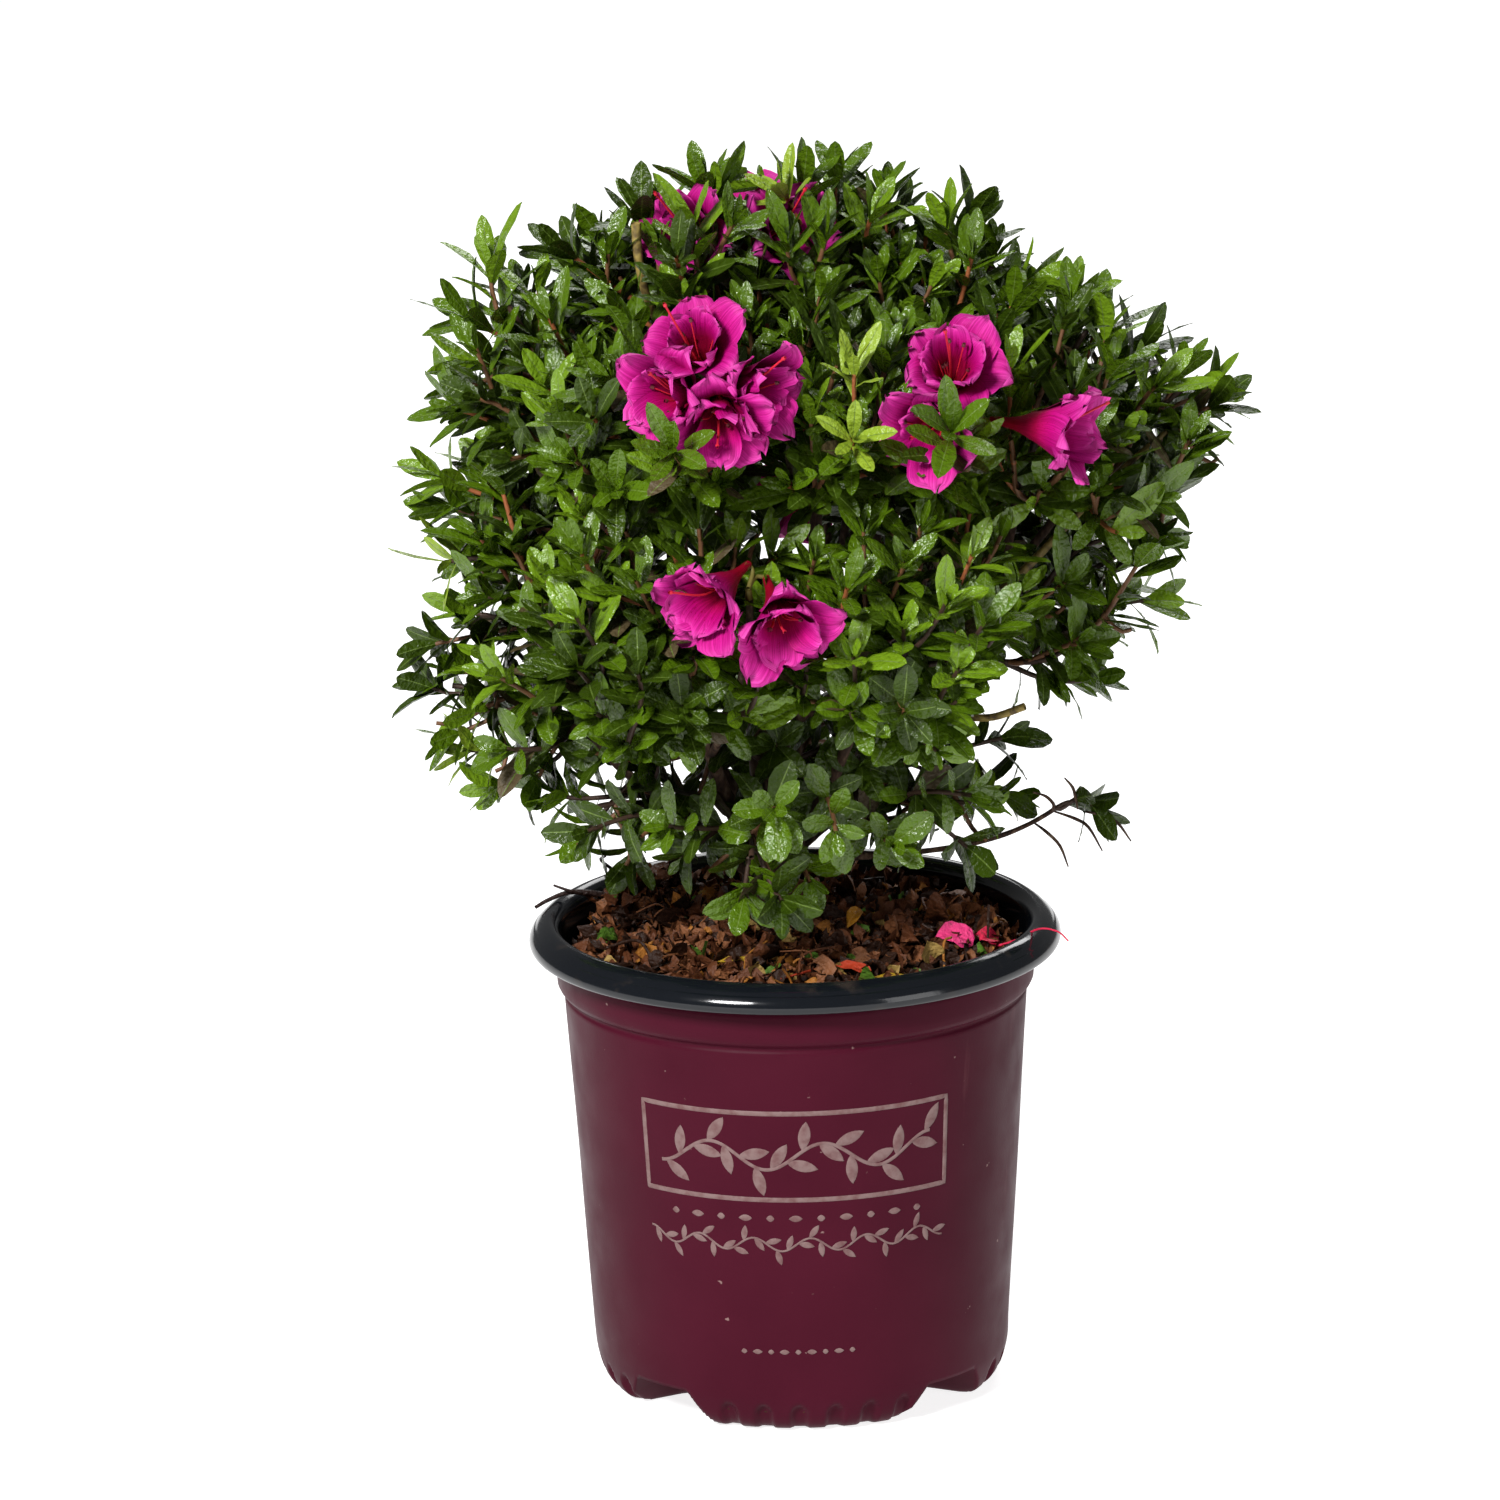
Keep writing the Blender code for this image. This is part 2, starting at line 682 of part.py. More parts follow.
class Growth:
    """The shapes of one mass so far, with what each new one may touch."""

    def __init__(self, space, name, thicket):
        self.space, self.name, self.thicket = space, name, thicket
        self.leaf_length = min(LEAF_LENGTH, space[name][1] * LEAF_OF_SPACE)
        self.shapes, self.trees = [], []

    def add(self, shape):
        self.shapes.append(shape)
        self.trees.append(BVHTree.FromPolygons(*shape))
        return len(self.shapes) - 1

    def try_add(self, shape, carrier):
        """Adds a shape that fits and touches nothing but what carries it."""
        if not roomy(self.space, self.name, shape[0]) or self.thicket.touched(shape):
            return None
        tree = BVHTree.FromPolygons(*shape)
        if any(tree.overlap(t) for k, t in enumerate(self.trees) if k != carrier):
            return None
        return self.add(shape)

    def leaf(self, carrier, root, lean, facing, scale):
        """A leaf with its root sunk in its twig, if there is room for it."""
        root = root - lean * TWIG_RADIUS * LEAF_SUNK
        shape = blade(root, lean.normalized(), facing, self.leaf_length * scale)
        return self.try_add(shape, carrier) is not None

    def end_leaf(self, carrier, tip, way):
        """The leaf that carries a stem on to the edge of its space."""
        for scale in END_SCALES:
            if self.leaf(carrier, tip - way * TWIG_RADIUS, way, way.orthogonal(), scale):
                return

    def side_leaf(self, carrier, tip, way, back, turn, rng):
        """A leaf beside a twig, turned and cut down until it fits."""
        side = way.orthogonal().normalized()
        across = way.cross(side)
        for scale in LEAF_SCALES:
            for attempt in range(LEAF_TRIES):
                a = turn + attempt * LEAF_TURN
                around = side * math.cos(a) + across * math.sin(a)
                lean = (way * rng.uniform(*LEAF_OPEN) + around + UP * LEAF_RISE).normalized()
                facing = (way + UP * FACE_RISE).normalized()
                if self.leaf(carrier, tip - way * back, lean, facing, scale):
                    return


def grow_mass(name, space, limb, thicket, mat):
    """A mass's leaves, grown again from another seed if they don't fuse soundly."""
    for attempt in range(REGROWTHS):
        rng = random.Random(f"leaves of {name} {attempt}")
        ob = fuse("leaves_" + name, mass_shapes(name, space, limb, thicket, rng), mat)
        if is_sound(ob):
            return
        bpy.data.objects.remove(ob, do_unlink=True)
    raise RuntimeError("no sound growth for " + name)


def mass_shapes(name, space, limb, thicket, rng):
    """The stem, twigs and leaves of one mass."""
    centre = space[name][0]
    aim = ((centre - HEART).normalized() + UP * AIM_RISE).normalized()
    stem = grow_stem(space, name, limb, aim, thicket, rng)
    growth = Growth(space, name, thicket)
    trunk = growth.add(stem.shape())
    shoots = [(trunk, stem.at(1), stem.along(1))]
    twigs = min(TWIGS, round(space[name][1] / TWIG_SPREAD))
    for k in range(twigs):
        for attempt in range(TWIG_TRIES):
            slip = rng.uniform(-TWIG_SLIP, TWIG_SLIP)
            root = stem.at(TWIG_FROM + TWIG_RUN * k / twigs + slip)
            stray = Vector([rng.uniform(-1, 1) for _ in range(3)])
            stray *= TWIG_STRAY + TWIG_STRAY_MORE * attempt
            way = (fibonacci(k, twigs) + aim * TWIG_OUTWARD + stray).normalized()
            room = reach(space, name, root, way)
            length = room - growth.leaf_length * TWIG_SHORT_OF
            length = min(TWIG_LONGEST, max(TWIG_SHORTEST, length))
            tip = root + way * length
            shape = tube([root, tip + way], [TWIG_RADIUS, TWIG_RADIUS * 0.8], 3)
            twig = growth.try_add(shape, trunk)
            if twig is not None:
                shoots.append((twig, tip, way))
                break
    turn = rng.uniform(0, math.tau)
    growth.end_leaf(*shoots[0])
    for j in range(ROSETTE):
        for carrier, tip, way in shoots:
            turn += GOLDEN
            growth.side_leaf(carrier, tip, way, LEAF_BACK + j * LEAF_SPACING, turn, rng)
    return growth.shapes


# ---------------------------------------------------------------- flowers


def flower(centre, facing):
    """A funnel of five petals round a narrow tube, as one closed thin shape."""
    side = facing.orthogonal().normalized()
    across = facing.cross(side)
    spokes = PETALS * 3

    def ring(radius_of, out):
        line = []
        for j in range(spokes):
            a = math.tau * j / spokes
            r = radius_of(j)
            line.append(centre + (side * math.cos(a) + across * math.sin(a)) * r + facing * out)
        return line

    def rim(j):
        return PETAL_NOTCH if j % 3 == 0 else PETAL_RADIUS

    rows = [
        ring(lambda j: TUBE_RADIUS, -TUBE_LENGTH),
        ring(lambda j: THROAT_RADIUS, 0.0),
        ring(rim, CUP_DEPTH),
    ]
    verts = [v for row in rows for v in row]
    faces = [tuple(range(spokes))]
    for k in range(len(rows) - 1):
        for j in range(spokes):
            a, b = k * spokes + j, k * spokes + (j + 1) % spokes
            faces.append((a, a + spokes, b + spokes, b))
    deep = len(verts)
    verts.append(centre + facing * PETAL_THICK)
    last = (len(rows) - 1) * spokes
    faces += [(last + j, deep, last + (j + 1) % spokes) for j in range(spokes)]
    return verts, faces


def grow_truss(name, space, limb, mat):
    """Flowers on short stalks from one stem, which goes on from its bough's tip."""
    flowers = [(Vector(place), Vector(face).normalized()) for place, face in TRUSSES[name][2:]]
    start = limb.at(1) + limb.along(1) * GAP
    backs = [place - face * (TUBE_LENGTH - STALK_SUNK) for place, face in flowers]
    fork = start + limb.along(1) * TRUSS_FORK
    shapes = [tube([start, fork], [TIP_RADIUS, TIP_RADIUS * 0.9], STEM_SIDES)]
    for (place, face), back in zip(flowers, backs):
        way = (back - fork).normalized()
        shapes.append(tube([fork - way, back + face * 1.0], [TWIG_RADIUS, TWIG_RADIUS], 3))
        shapes.append(flower(place, face))
    return fuse(name, shapes, mat)


# ---------------------------------------------------------------- the plant


def main():
    clear_scene()
    shell = material("pot_maroon", (0.100, 0.013, 0.032), 0.42)
    lip = material("pot_black", (0.012, 0.014, 0.017), 0.3)
    mix = material("potting_mix", (0.090, 0.034, 0.016), 0.9)
    bark = material("bark", (0.062, 0.034, 0.020), 0.8)
    green = material("leaf_green", (0.042, 0.110, 0.018), 0.4)
    pink = material("petal_pink", (0.60, 0.020, 0.30), 0.55)

    make_pot(shell, lip)
    make_soil(mix)
    space = spaces()
    limbs = grow_limbs(space)
    make_limbs(limbs, bark)
    thicket = Thicket(limbs)
    for name in MASSES:
        grow_mass(name, space, limbs[name], thicket, green)
    for name in TRUSSES:
        grow_truss(name, space, limbs[name], pink)


main()
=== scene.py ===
"""The looks of an azalea shrub in its nursery pot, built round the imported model.

Lengths are millimetres in the model's frame unless a name says otherwise, and
MM turns them into metres when a mesh is made. The front of the plant faces -Y.
"""

import json
import math
import random

import bpy
import numpy as np
from mathutils import Matrix, Vector, noise

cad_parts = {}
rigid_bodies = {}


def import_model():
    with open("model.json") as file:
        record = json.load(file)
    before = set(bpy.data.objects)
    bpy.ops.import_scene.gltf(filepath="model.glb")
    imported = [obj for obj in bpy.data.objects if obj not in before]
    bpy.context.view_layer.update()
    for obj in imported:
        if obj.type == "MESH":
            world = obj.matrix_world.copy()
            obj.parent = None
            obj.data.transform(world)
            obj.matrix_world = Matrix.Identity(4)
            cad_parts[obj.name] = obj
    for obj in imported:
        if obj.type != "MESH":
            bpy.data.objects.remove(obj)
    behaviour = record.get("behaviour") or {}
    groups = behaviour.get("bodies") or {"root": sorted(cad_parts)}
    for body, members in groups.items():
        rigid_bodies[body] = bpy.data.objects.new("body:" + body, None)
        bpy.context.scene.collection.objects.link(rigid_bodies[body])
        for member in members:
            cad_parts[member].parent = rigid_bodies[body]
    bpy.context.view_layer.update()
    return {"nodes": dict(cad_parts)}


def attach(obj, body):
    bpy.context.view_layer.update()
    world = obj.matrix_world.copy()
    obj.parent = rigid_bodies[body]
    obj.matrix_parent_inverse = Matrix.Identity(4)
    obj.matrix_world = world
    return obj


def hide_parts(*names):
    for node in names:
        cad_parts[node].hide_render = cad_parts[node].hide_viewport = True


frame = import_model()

MM = 0.001
GOLDEN = math.pi * (3 - math.sqrt(5))
UP = Vector((0, 0, 1))
BODY = "root"

FLOOR_REACH = 16000.0
FLOOR_GLOW = 0.84
AMBIENT = 0.14  # strength of the light from all round
LIGHTS = {  # place, aimed at, size in metres, watts
    "key": ((-1100, -1850, 1750), (0, 0, 280), (0.6, 0.6), 112),
    "fill": ((1800, -1500, 700), (0, 0, 250), (1.0, 1.4), 15),
    "back": ((300, 1500, 1700), (0, 0, 300), (1.4, 1.4), 34),
}

# Camera: a long lens, a little above the plant
CAMERA_ELEVATION = math.radians(15.3)
CAMERA_ROLL = math.radians(1.1)
CAMERA_DISTANCE = 4200.0
CAMERA_TARGET = Vector((-15.8, 0, 248))
CAMERA_VIEW_WIDTH = 568.8
SENSOR = 36.0

# Pot
POT_SEGMENTS = 480
POT_TOP = 183.0
WALL = 1.6
WALL_LOW_R, WALL_LOW_Z = 79.2, 16.0
WALL_HIGH_R, WALL_HIGH_Z = 88.2, 155.5
LIP_R = 101.3
FEET = 4
NOTCH_Z = 14.5
NOTCH_R = (50, 57)  # the notches' roof rises between these
NOTCH_TOP_HALF = math.radians(9.5)
NOTCH_FOOT_HALF = math.radians(17.5)
FLUTES = 6
FLUTE_STEP = math.radians(10.2)
FLUTE_TURN = math.radians(2.5)
FLUTE_HALF = math.radians(2.4)
FLUTE_DEPTH = 2.3
FLUTE_TOP = 12.5
FLUTE_ARCH = 3.0  # how much lower a flute's top is at its sides
FLUTE_R = 68  # the least radius that the flutes cut
FOOT_TURN = math.radians(1.2)
BULGE = 0.35  # how far the blown wall is from round, from this height up:
BULGE_Z = 20
BULGE_RATE = 0.016  # how fine its waves are

# Raised ornament on the wall, in place of the print
ORNAMENT_R = 84.0  # of the wall, for turning distances round it into angles
ORNAMENT_HALF = 60.5
ORNAMENT_LOW, ORNAMENT_HIGH = 95.5, 130.0
ORNAMENT_TURN = -2.0  # the middle of the print lies a little left of the front
ORNAMENT_LIFT = 0.22
ORNAMENT_SUNK = -0.1  # its edges end this far in the wall

# Potting mix and what lies on it
SOIL_TOP = 179.0
SOIL_FLAT_R = 27.0
SOIL_EDGE_Z = 166.0
HEAP_AT = (-56.0, 40.0)
HEAP_RISE = 10.0
HEAP_SPREAD = 20.0
MOUND_CURVE = 1.6
CHIPS = 2700
STALKS = 130
LITTER_COLOURS = {
    "litter_dark": (0.020, 0.007, 0.003),
    "litter_brown": (0.088, 0.028, 0.010),
    "litter_tan": (0.175, 0.066, 0.026),
    "litter_ochre": (0.290, 0.110, 0.018),
    "litter_straw": (0.280, 0.180, 0.050),
    "litter_green": (0.070, 0.150, 0.015),
}
LITTER_SHARES = (0.27, 0.40, 0.24, 0.05, 0.02, 0.02)
LITTER_LIP_Z = 180  # litter above this may reach out over the lip,
LITTER_LIP_INSET = 12  # up to this far from its edge
STRAY_COLOURS = {
    "stray_pink": (0.62, 0.035, 0.16),
    "stray_rose": (0.50, 0.012, 0.05),
    "stray_yellow": (0.32, 0.20, 0.012),
    "stray_red": (0.30, 0.030, 0.010),
    "stray_twig": (0.020, 0.009, 0.007),
    "stray_amber": (0.36, 0.15, 0.010),
}
PINK, ROSE, YELLOW, RED, TWIG, AMBER = range(6)
# Leaves and petals lying on the litter: (colour, (x, y), way, length, width share, bend)
STRAY_LEAVES = (
    (PINK, (53, -30), (1, 0.3, 0.2), 17, 0.8, 1.0),
    (PINK, (55, -25), (0.8, -0.5, 0.3), 14, 0.85, 1.4),
    (ROSE, (68, -20), (1, 0.1, 0.1), 14, 0.75, 1.6),
    (ROSE, (70, -24), (0.7, 0.6, 0.3), 10, 0.8, 1.6),
    (RED, (14, -62), (1, -0.45, 0.1), 15, 0.32, 0.4),
    (YELLOW, (27, -70), (1, 0.15, 0.0), 24, 0.14, 0.3),
    (AMBER, (20, -30), (0.4, 0.7, 0.8), 13, 0.4, 0.9),
    (YELLOW, (-30, -56), (1, 0.2, 0.2), 16, 0.14, 0.6),
)
STRAY_LIFT = 7.5  # above the mix
STRAY_FACE = (0.1, -0.5, 1)
STRAY_FORM = [0.5], [0.3], [0.6]  # fold, curl and ripple
# Fallen stalks: (colour, radius, places along it)
STRAY_STALKS = (
    (ROSE, 0.5, ((76, -22, 175), (84, -27, 179), (92, -32, 184.5), (99, -36, 184.5),
                 (103, -37, 181))),
    (TWIG, 1.3, ((-66, 34, 180), (-76, 30, 184), (-86, 27, 185.5), (-94, 24, 183.5),
                 (-99, 21, 181.5))),
    (TWIG, 0.8, ((-80, 29, 184), (-86, 24, 187), (-92, 25, 189))),
    (TWIG, 0.7, ((-70, 50, 188), (-74, 42, 194), (-72, 36, 197))),
    (RED, 0.6, ((8, -58, 178), (2, -66, 179), (-6, -70, 178))),
)

# The source's rule for trunk and boughs
TRUNK_FOOT = Vector((-11.0, 0.0, 179.3))
TRUNK_FORK = Vector((-7.0, 3.0, 226.0))
TRUNK_RISE = 16.0
TRUNK_LEAN = Vector((4.0, 3.5, 18.0))
TRUNK_RADII = (14.0, 9.8, 8.8, 8.4, 8.2, 7.6)
LIMB_SAMPLES = 60
LIMB_CLEAR = 0.9
LIMB_TRIES = 60
TIP_RADIUS = 1.5
LIMB_WAIST = 0.8  # a limb's radius half way, as a share of its base
LIMB_SEAT = 0.8  # how far out in its parent a limb starts, as a share of what fits
LIMB_SUNK = 0.4  # how deep in its parent's skin it may still lie, as a share of its base
LIMB_SPLAY = 0.9
LIMB_FOLLOW = 0.35
LIMB_RISE = 0.45
LIMB_SWAY = 0.05
LIMB_SWAY_MOST = 0.27
BEND_AT = 0.33
FORK_ROAM = 0.3
FORK_FROM, FORK_TO = 0.25, 0.97
LOW_LIMB = 0.75
LIMB_BASE = {"trunk": 3.7, "top": 2.6, "far_right": 2.6, "upper_left": 2.6}
LIMB_BASE_OTHER = 2.2
BLOOM_LIMB_BASE = 1.7
GAP = 0.3
HEART = Vector((-8.0, 0.0, 285.0))
AIM_RISE = 0.25
BRIM_REACH = 14.0
MIX_CLEAR = 1.5
LIP_CLEAR = 2.0
REACH_STEP = 2.0
REACH_MOST = 120.0
TWIGS = 6
TWIG_FROM = 0.2
TWIG_RUN = 0.7
TWIG_OUTWARD = 0.4
TWIG_STRAY = 0.15
TWIG_MOST, TWIG_LEAST = 30.0, 8.0
TWIG_RADII = (1.1, 0.8)
STEM_SHARE = 0.45  # how far a stem goes on in its mass, as a share of the room ahead,
STEM_LEAST = 6.0  # but at least this far past the middle
SLIM_STEM = -4.0  # and a slim one this far
BLOOM_SPACE = 25.0
BLOOM_SPREAD = 0.8
BLOOM_BEHIND = 6.0

# name: (centre, radius, limb it grows from, how far along that limb)
MASSES = {
    "top_left": ((-42, 4, 436), 54, "trunk", 0.96),
    "top": ((18, 16, 436), 54, "trunk", 0.84),
    "upper_left": ((-92, 0, 402), 54, "trunk", 0.80),
    "far_right": ((136, 0, 373), 54, "top", 0.24),
    "front_left": ((-50, -76, 322), 56, "trunk", 0.60),
    "back_right": ((66, 78, 318), 58, "trunk", 0.72),
    "back_left": ((-64, 76, 322), 58, "trunk", 0.52),
    "front_right": ((46, -76, 318), 56, "trunk", 0.50),
    "low_left": ((-104, 2, 272), 54, "trunk", 0.62),
    "lower_right": ((58, -14, 240), 47, "trunk", 0.44),
    "lower_back": ((2, 62, 246), 50, "trunk", 0.40),
    "lower_front": ((-14, -52, 236), 46, "trunk", 0.34),
    "lower_left": ((-64, -22, 240), 46, "trunk", 0.45),
    "top_right": ((68, 0, 412), 55, "top", 0.52),
    "upper_right": ((100, -20, 396), 50, "far_right", 0.62),
    "right": ((108, 4, 312), 51, "trunk", 0.66),
    "left": ((-98, 4, 342), 54, "upper_left", 0.44),
    "upper_front_left": ((-46, -62, 392), 52, "top_left", 0.46),
    "upper_front_right": ((32, -66, 392), 52, "top", 0.40),
    "upper_back_left": ((-48, 68, 396), 56, "back_left", 0.62),
    "upper_back_right": ((48, 72, 392), 56, "back_right", 0.62),
    "stray_right": ((111, -6, 226), 26, "lower_right", 0.42),
}

# name: (limb it grows from, how far along, (flower centre, flower facing)...)
TRUSSES = {
    "bloom_top": (
        "top_left", 0.74,
        ((-30, -4, 447), (-0.5, -0.8, 0.5)),
        ((-5, -3, 447), (0.7, -0.7, 0.4)),
    ),
    "bloom_left": (
        "upper_front_left", 0.72,
        ((-31, -98, 425), (-0.2, -0.9, 0.8)),
        ((-37, -104, 414), (-0.8, -1.0, 0.0)),
        ((-25, -108, 408), (0.05, -1.0, -0.45)),
        ((-18, -101, 415), (0.9, -0.85, -0.05)),
    ),
    "bloom_right": (
        "upper_front_right", 0.74,
        ((61, -90, 413), (0.05, -0.9, 0.75)),
        ((56, -97, 399), (-0.3, -1.0, -0.15)),
        ((91, -77, 391), (1.0, -0.45, -0.05)),
    ),
    "bloom_low": (
        "front_left", 0.72,
        ((-24, -113, 342), (-0.65, -1.0, -0.3)),
        ((-5, -114, 333), (0.25, -1.0, -0.55)),
    ),
    "bloom_back_left": (
        "upper_back_left", 0.70,
        ((-12, 108, 424), (-0.1, 1.0, 0.6)),
        ((2, 114, 408), (0.5, 1.0, -0.1)),
    ),
    "bloom_back_right": (
        "back_right", 0.72,
        ((18, 116, 336), (-0.4, 1.0, 0.3)),
        ((8, 110, 320), (-0.6, 1.0, -0.4)),
    ),
}

SLIM = {"stray_right": 0.6}  # wood drawn thinner than its solid

# Shoots that stand bare, lit along the right or cut off at the top left:
# (places along it, radius at its foot, radius at its tip)
BARE_SHOOTS = (
    (((46, 3, 281), (60, -8, 291), (74, -16, 307), (91, -20, 324), (108, -20, 342), (127, -13, 359),
      (143, -4, 370)), 2.3, 1.0),
    (((-48, -6, 418), (-52, -16, 432), (-54, -20, 446), (-54.5, -21, 458)), 1.5, 1.9),
    (((64, -10, 262), (76, -18, 264), (88, -22, 269)), 1.4, 1.5),
)
# Rolled leaves that hang from the low twig at the right, as places from root to tip
THIN_LEAVES = (
    ((98, -7, 221), (99, -8, 226), (96, -9, 230), (91, -10, 232)),
    ((91, -6, 218), (96, -9, 216), (101, -11, 211), (104, -12, 203)),
    ((102, -6, 221), (107, -9, 221), (112, -11, 218), (117, -12, 209)),
    ((110, -6, 223), (117, -8, 222), (123, -9, 219), (128, -10, 212)),
    ((108, -6, 224), (107, -9, 230), (106, -11, 234), (103, -12, 238)),
)
BARK_RELIEF = ((0.14, 0.22, 0.35), (0.07, 0.8, 0.4))  # depth, rate, rate along the stem
THIN_RADII = (0.35, 0.7, 0.65, 0.3)
THIN_ROOM = 7.0  # a root nearer to the twig than this is moved onto it

# Shoots: finer twigs that end in a rosette of leaves, and those leaves
SHOOT_TRIES = 1900
SHOOT_INSET = 17.0  # of a shoot's tip from the crown's surface
SHOOT_DEPTH = 82.0  # the deepest tip
LOW_DEPTH = 44.0  # and in the open part below
SHOOT_SPACING = 17.5  # between tips near the crown's surface
SHOOT_SPACING_DEEP = 24.0
LOW_CROWN_Z = 290.0  # below this the crown is more open
LOW_SPACING = 1.62
DARK_WOOD_Z = 335.0  # shoots that end below this are dark
LEADER_INSET = 7.0  # of the longer shoots that stand out of the crown
LEADER_SPACING = 32.0
LEADER_SIDE = 0.5  # least share of front or back in the way that such a shoot grows
SHOOT_NEAREST = 10.0
TURN_COST = 12  # a shoot leaves the nearest wood, but rather wood that points its way,
NEAR_COST = 40  # is further off than SHOOT_NEAREST
BACK_COST = 45  # and lies behind it
SHOOT_RISE = (0.3, 1.7)  # how far shoots turn up, low and high in the crown,
SHOOT_RISE_Z = (230, 430)  # between these heights
UPRIGHT_Z = (250, 370)  # between these, leaves become more upright, longer and narrower
LEAFY = (24.0, 42.0)  # length of shoot that carries leaves
LEAFY_DEEP = (8.0, 16.0)  # and of one whose tip lies deeper than this:
DEEP_TIP = 22.0
YOUNG_LEAFY = 1.35  # how much more of a young shoot carries leaves
SHOOT_STRAY = 0.25
SHOOT_BACK = 0.35  # a shoot that would turn back more than this starts more to the side
SHOOT_THICK, SHOOT_END = 0.9, 0.85  # least radius at its root, radius at its tip
LEAF_EVERY = (2.6, 3.9)  # between leaves along a shoot
TUBE_SIDES = 6
LEAF_LENGTH = (15.5, 22.5)
LEAF_WIDTH = (0.40, 0.48)  # of its length
OPEN_AT_TIP = 14  # degrees between a shoot and its first leaf,
OPEN_STEP = 9  # and more for each of the next four,
OPEN_BELOW = 30  # and more along the rest of the shoot,
OPEN_STRAY = 9  # give or take this
LEAF_BAY = 0.55  # leaves may reach into a gap up to this share of its radius
SHORTER_LEAVES = (1.0, 0.8, 0.62)
FLOWER_ROOM = 13.0  # kept by shoots from a flower's throat
PETAL_AHEAD = 13.0
PETAL_ROOM = 11.0  # and by leaf tips
HIDDEN_TRUSSES = ("bloom_top",)  # leaves stand in front of this one
FRONT_INSET = 8.0  # how much nearer the surface shoots come at the front and back
# The darkest leaf green is painted shade, dealt to sprays deep in the crown, and the brightest is
# painted light, dealt more to sprays near its surface; the middle one is the leaves' plain green.
LEAF_COLOURS = {  # colour, roughness and, where it isn't the usual one, specular level
    "leaf_painted_shade": ((0.025, 0.047, 0.002), 0.28, 0.25),
    "leaf_mid": ((0.058, 0.110, 0.003), 0.21),
    "leaf_painted_lit": ((0.110, 0.195, 0.007), 0.23),
    "leaf_young": ((0.190, 0.275, 0.018), 0.36),
    "leaf_old": ((0.060, 0.042, 0.016), 0.55),
    "leaf_rib": ((0.088, 0.138, 0.020), 0.40),
}
PAINTED_SHADE_GREEN, MID, PAINTED_LIT_GREEN, YOUNG, OLD, RIB = range(6)
YOUNG_SHARE = 0.02  # of the sprays at the crown's surface
OLD_SHARE = 0.06  # of the lower leaves of a spray
TWIG_COLOURS = {
    "twig_old": (0.040, 0.020, 0.012),
    "twig_brown": (0.125, 0.055, 0.022),
    "twig_red": (0.260, 0.080, 0.026),
}
OLD_WOOD, BROWN_WOOD, RED_WOOD = range(3)
LEAF_ROWS = np.array((0, 0.12, 0.32, 0.54, 0.76, 0.93, 1.0))
LEAF_COLUMNS = np.array((-1, -0.52, -0.055, 0.055, 0.52, 1))
RIB_COLUMN = 2

# How much further in the crown's surface lies than a mass could reach
RECEDE = {"top_left": 12, "top": 7, "upper_left": 8, "far_right": 17, "right": 14, "low_left": 7,
          "left": 9, "lower_right": 4, "upper_right": 4, "top_right": 7, "stray_right": 40}
LEAF_REACH = 2.0  # how far leaves stand past the ball of their mass,
LEADER_REACH = 9.0  # and those of a named leader
LEADER_PULLS, LEADER_PULL = 20, 1.5  # most steps, and each, that bring its tip into the crown
LEADER_HOLD = 2.0  # and how far inside a ball it ends then

# See-through gaps that run back and a little down: (x, z in the middle, radius)
BAYS = (
    (88, 276, 19), (158, 342, 20), (112, 244, 12), (-142, 318, 9), (-142, 378, 8), (-36, 280, 7),
    (-60, 292, 7), (-14, 268, 6), (38, 276, 7), (-74, 306, 5), (62, 296, 6), (94, 300, 7),
    (74, 268, 7), (46, 288, 6), (24, 270, 6),
)
# Gaps in front of this y only, which lay a bough bare
BOUGH_BAY_Y = -14
BOUGH_BAYS = ((76, 305, 7), (91, 320, 7), (108, 337, 7))
BAY_SLOPE = 0.27

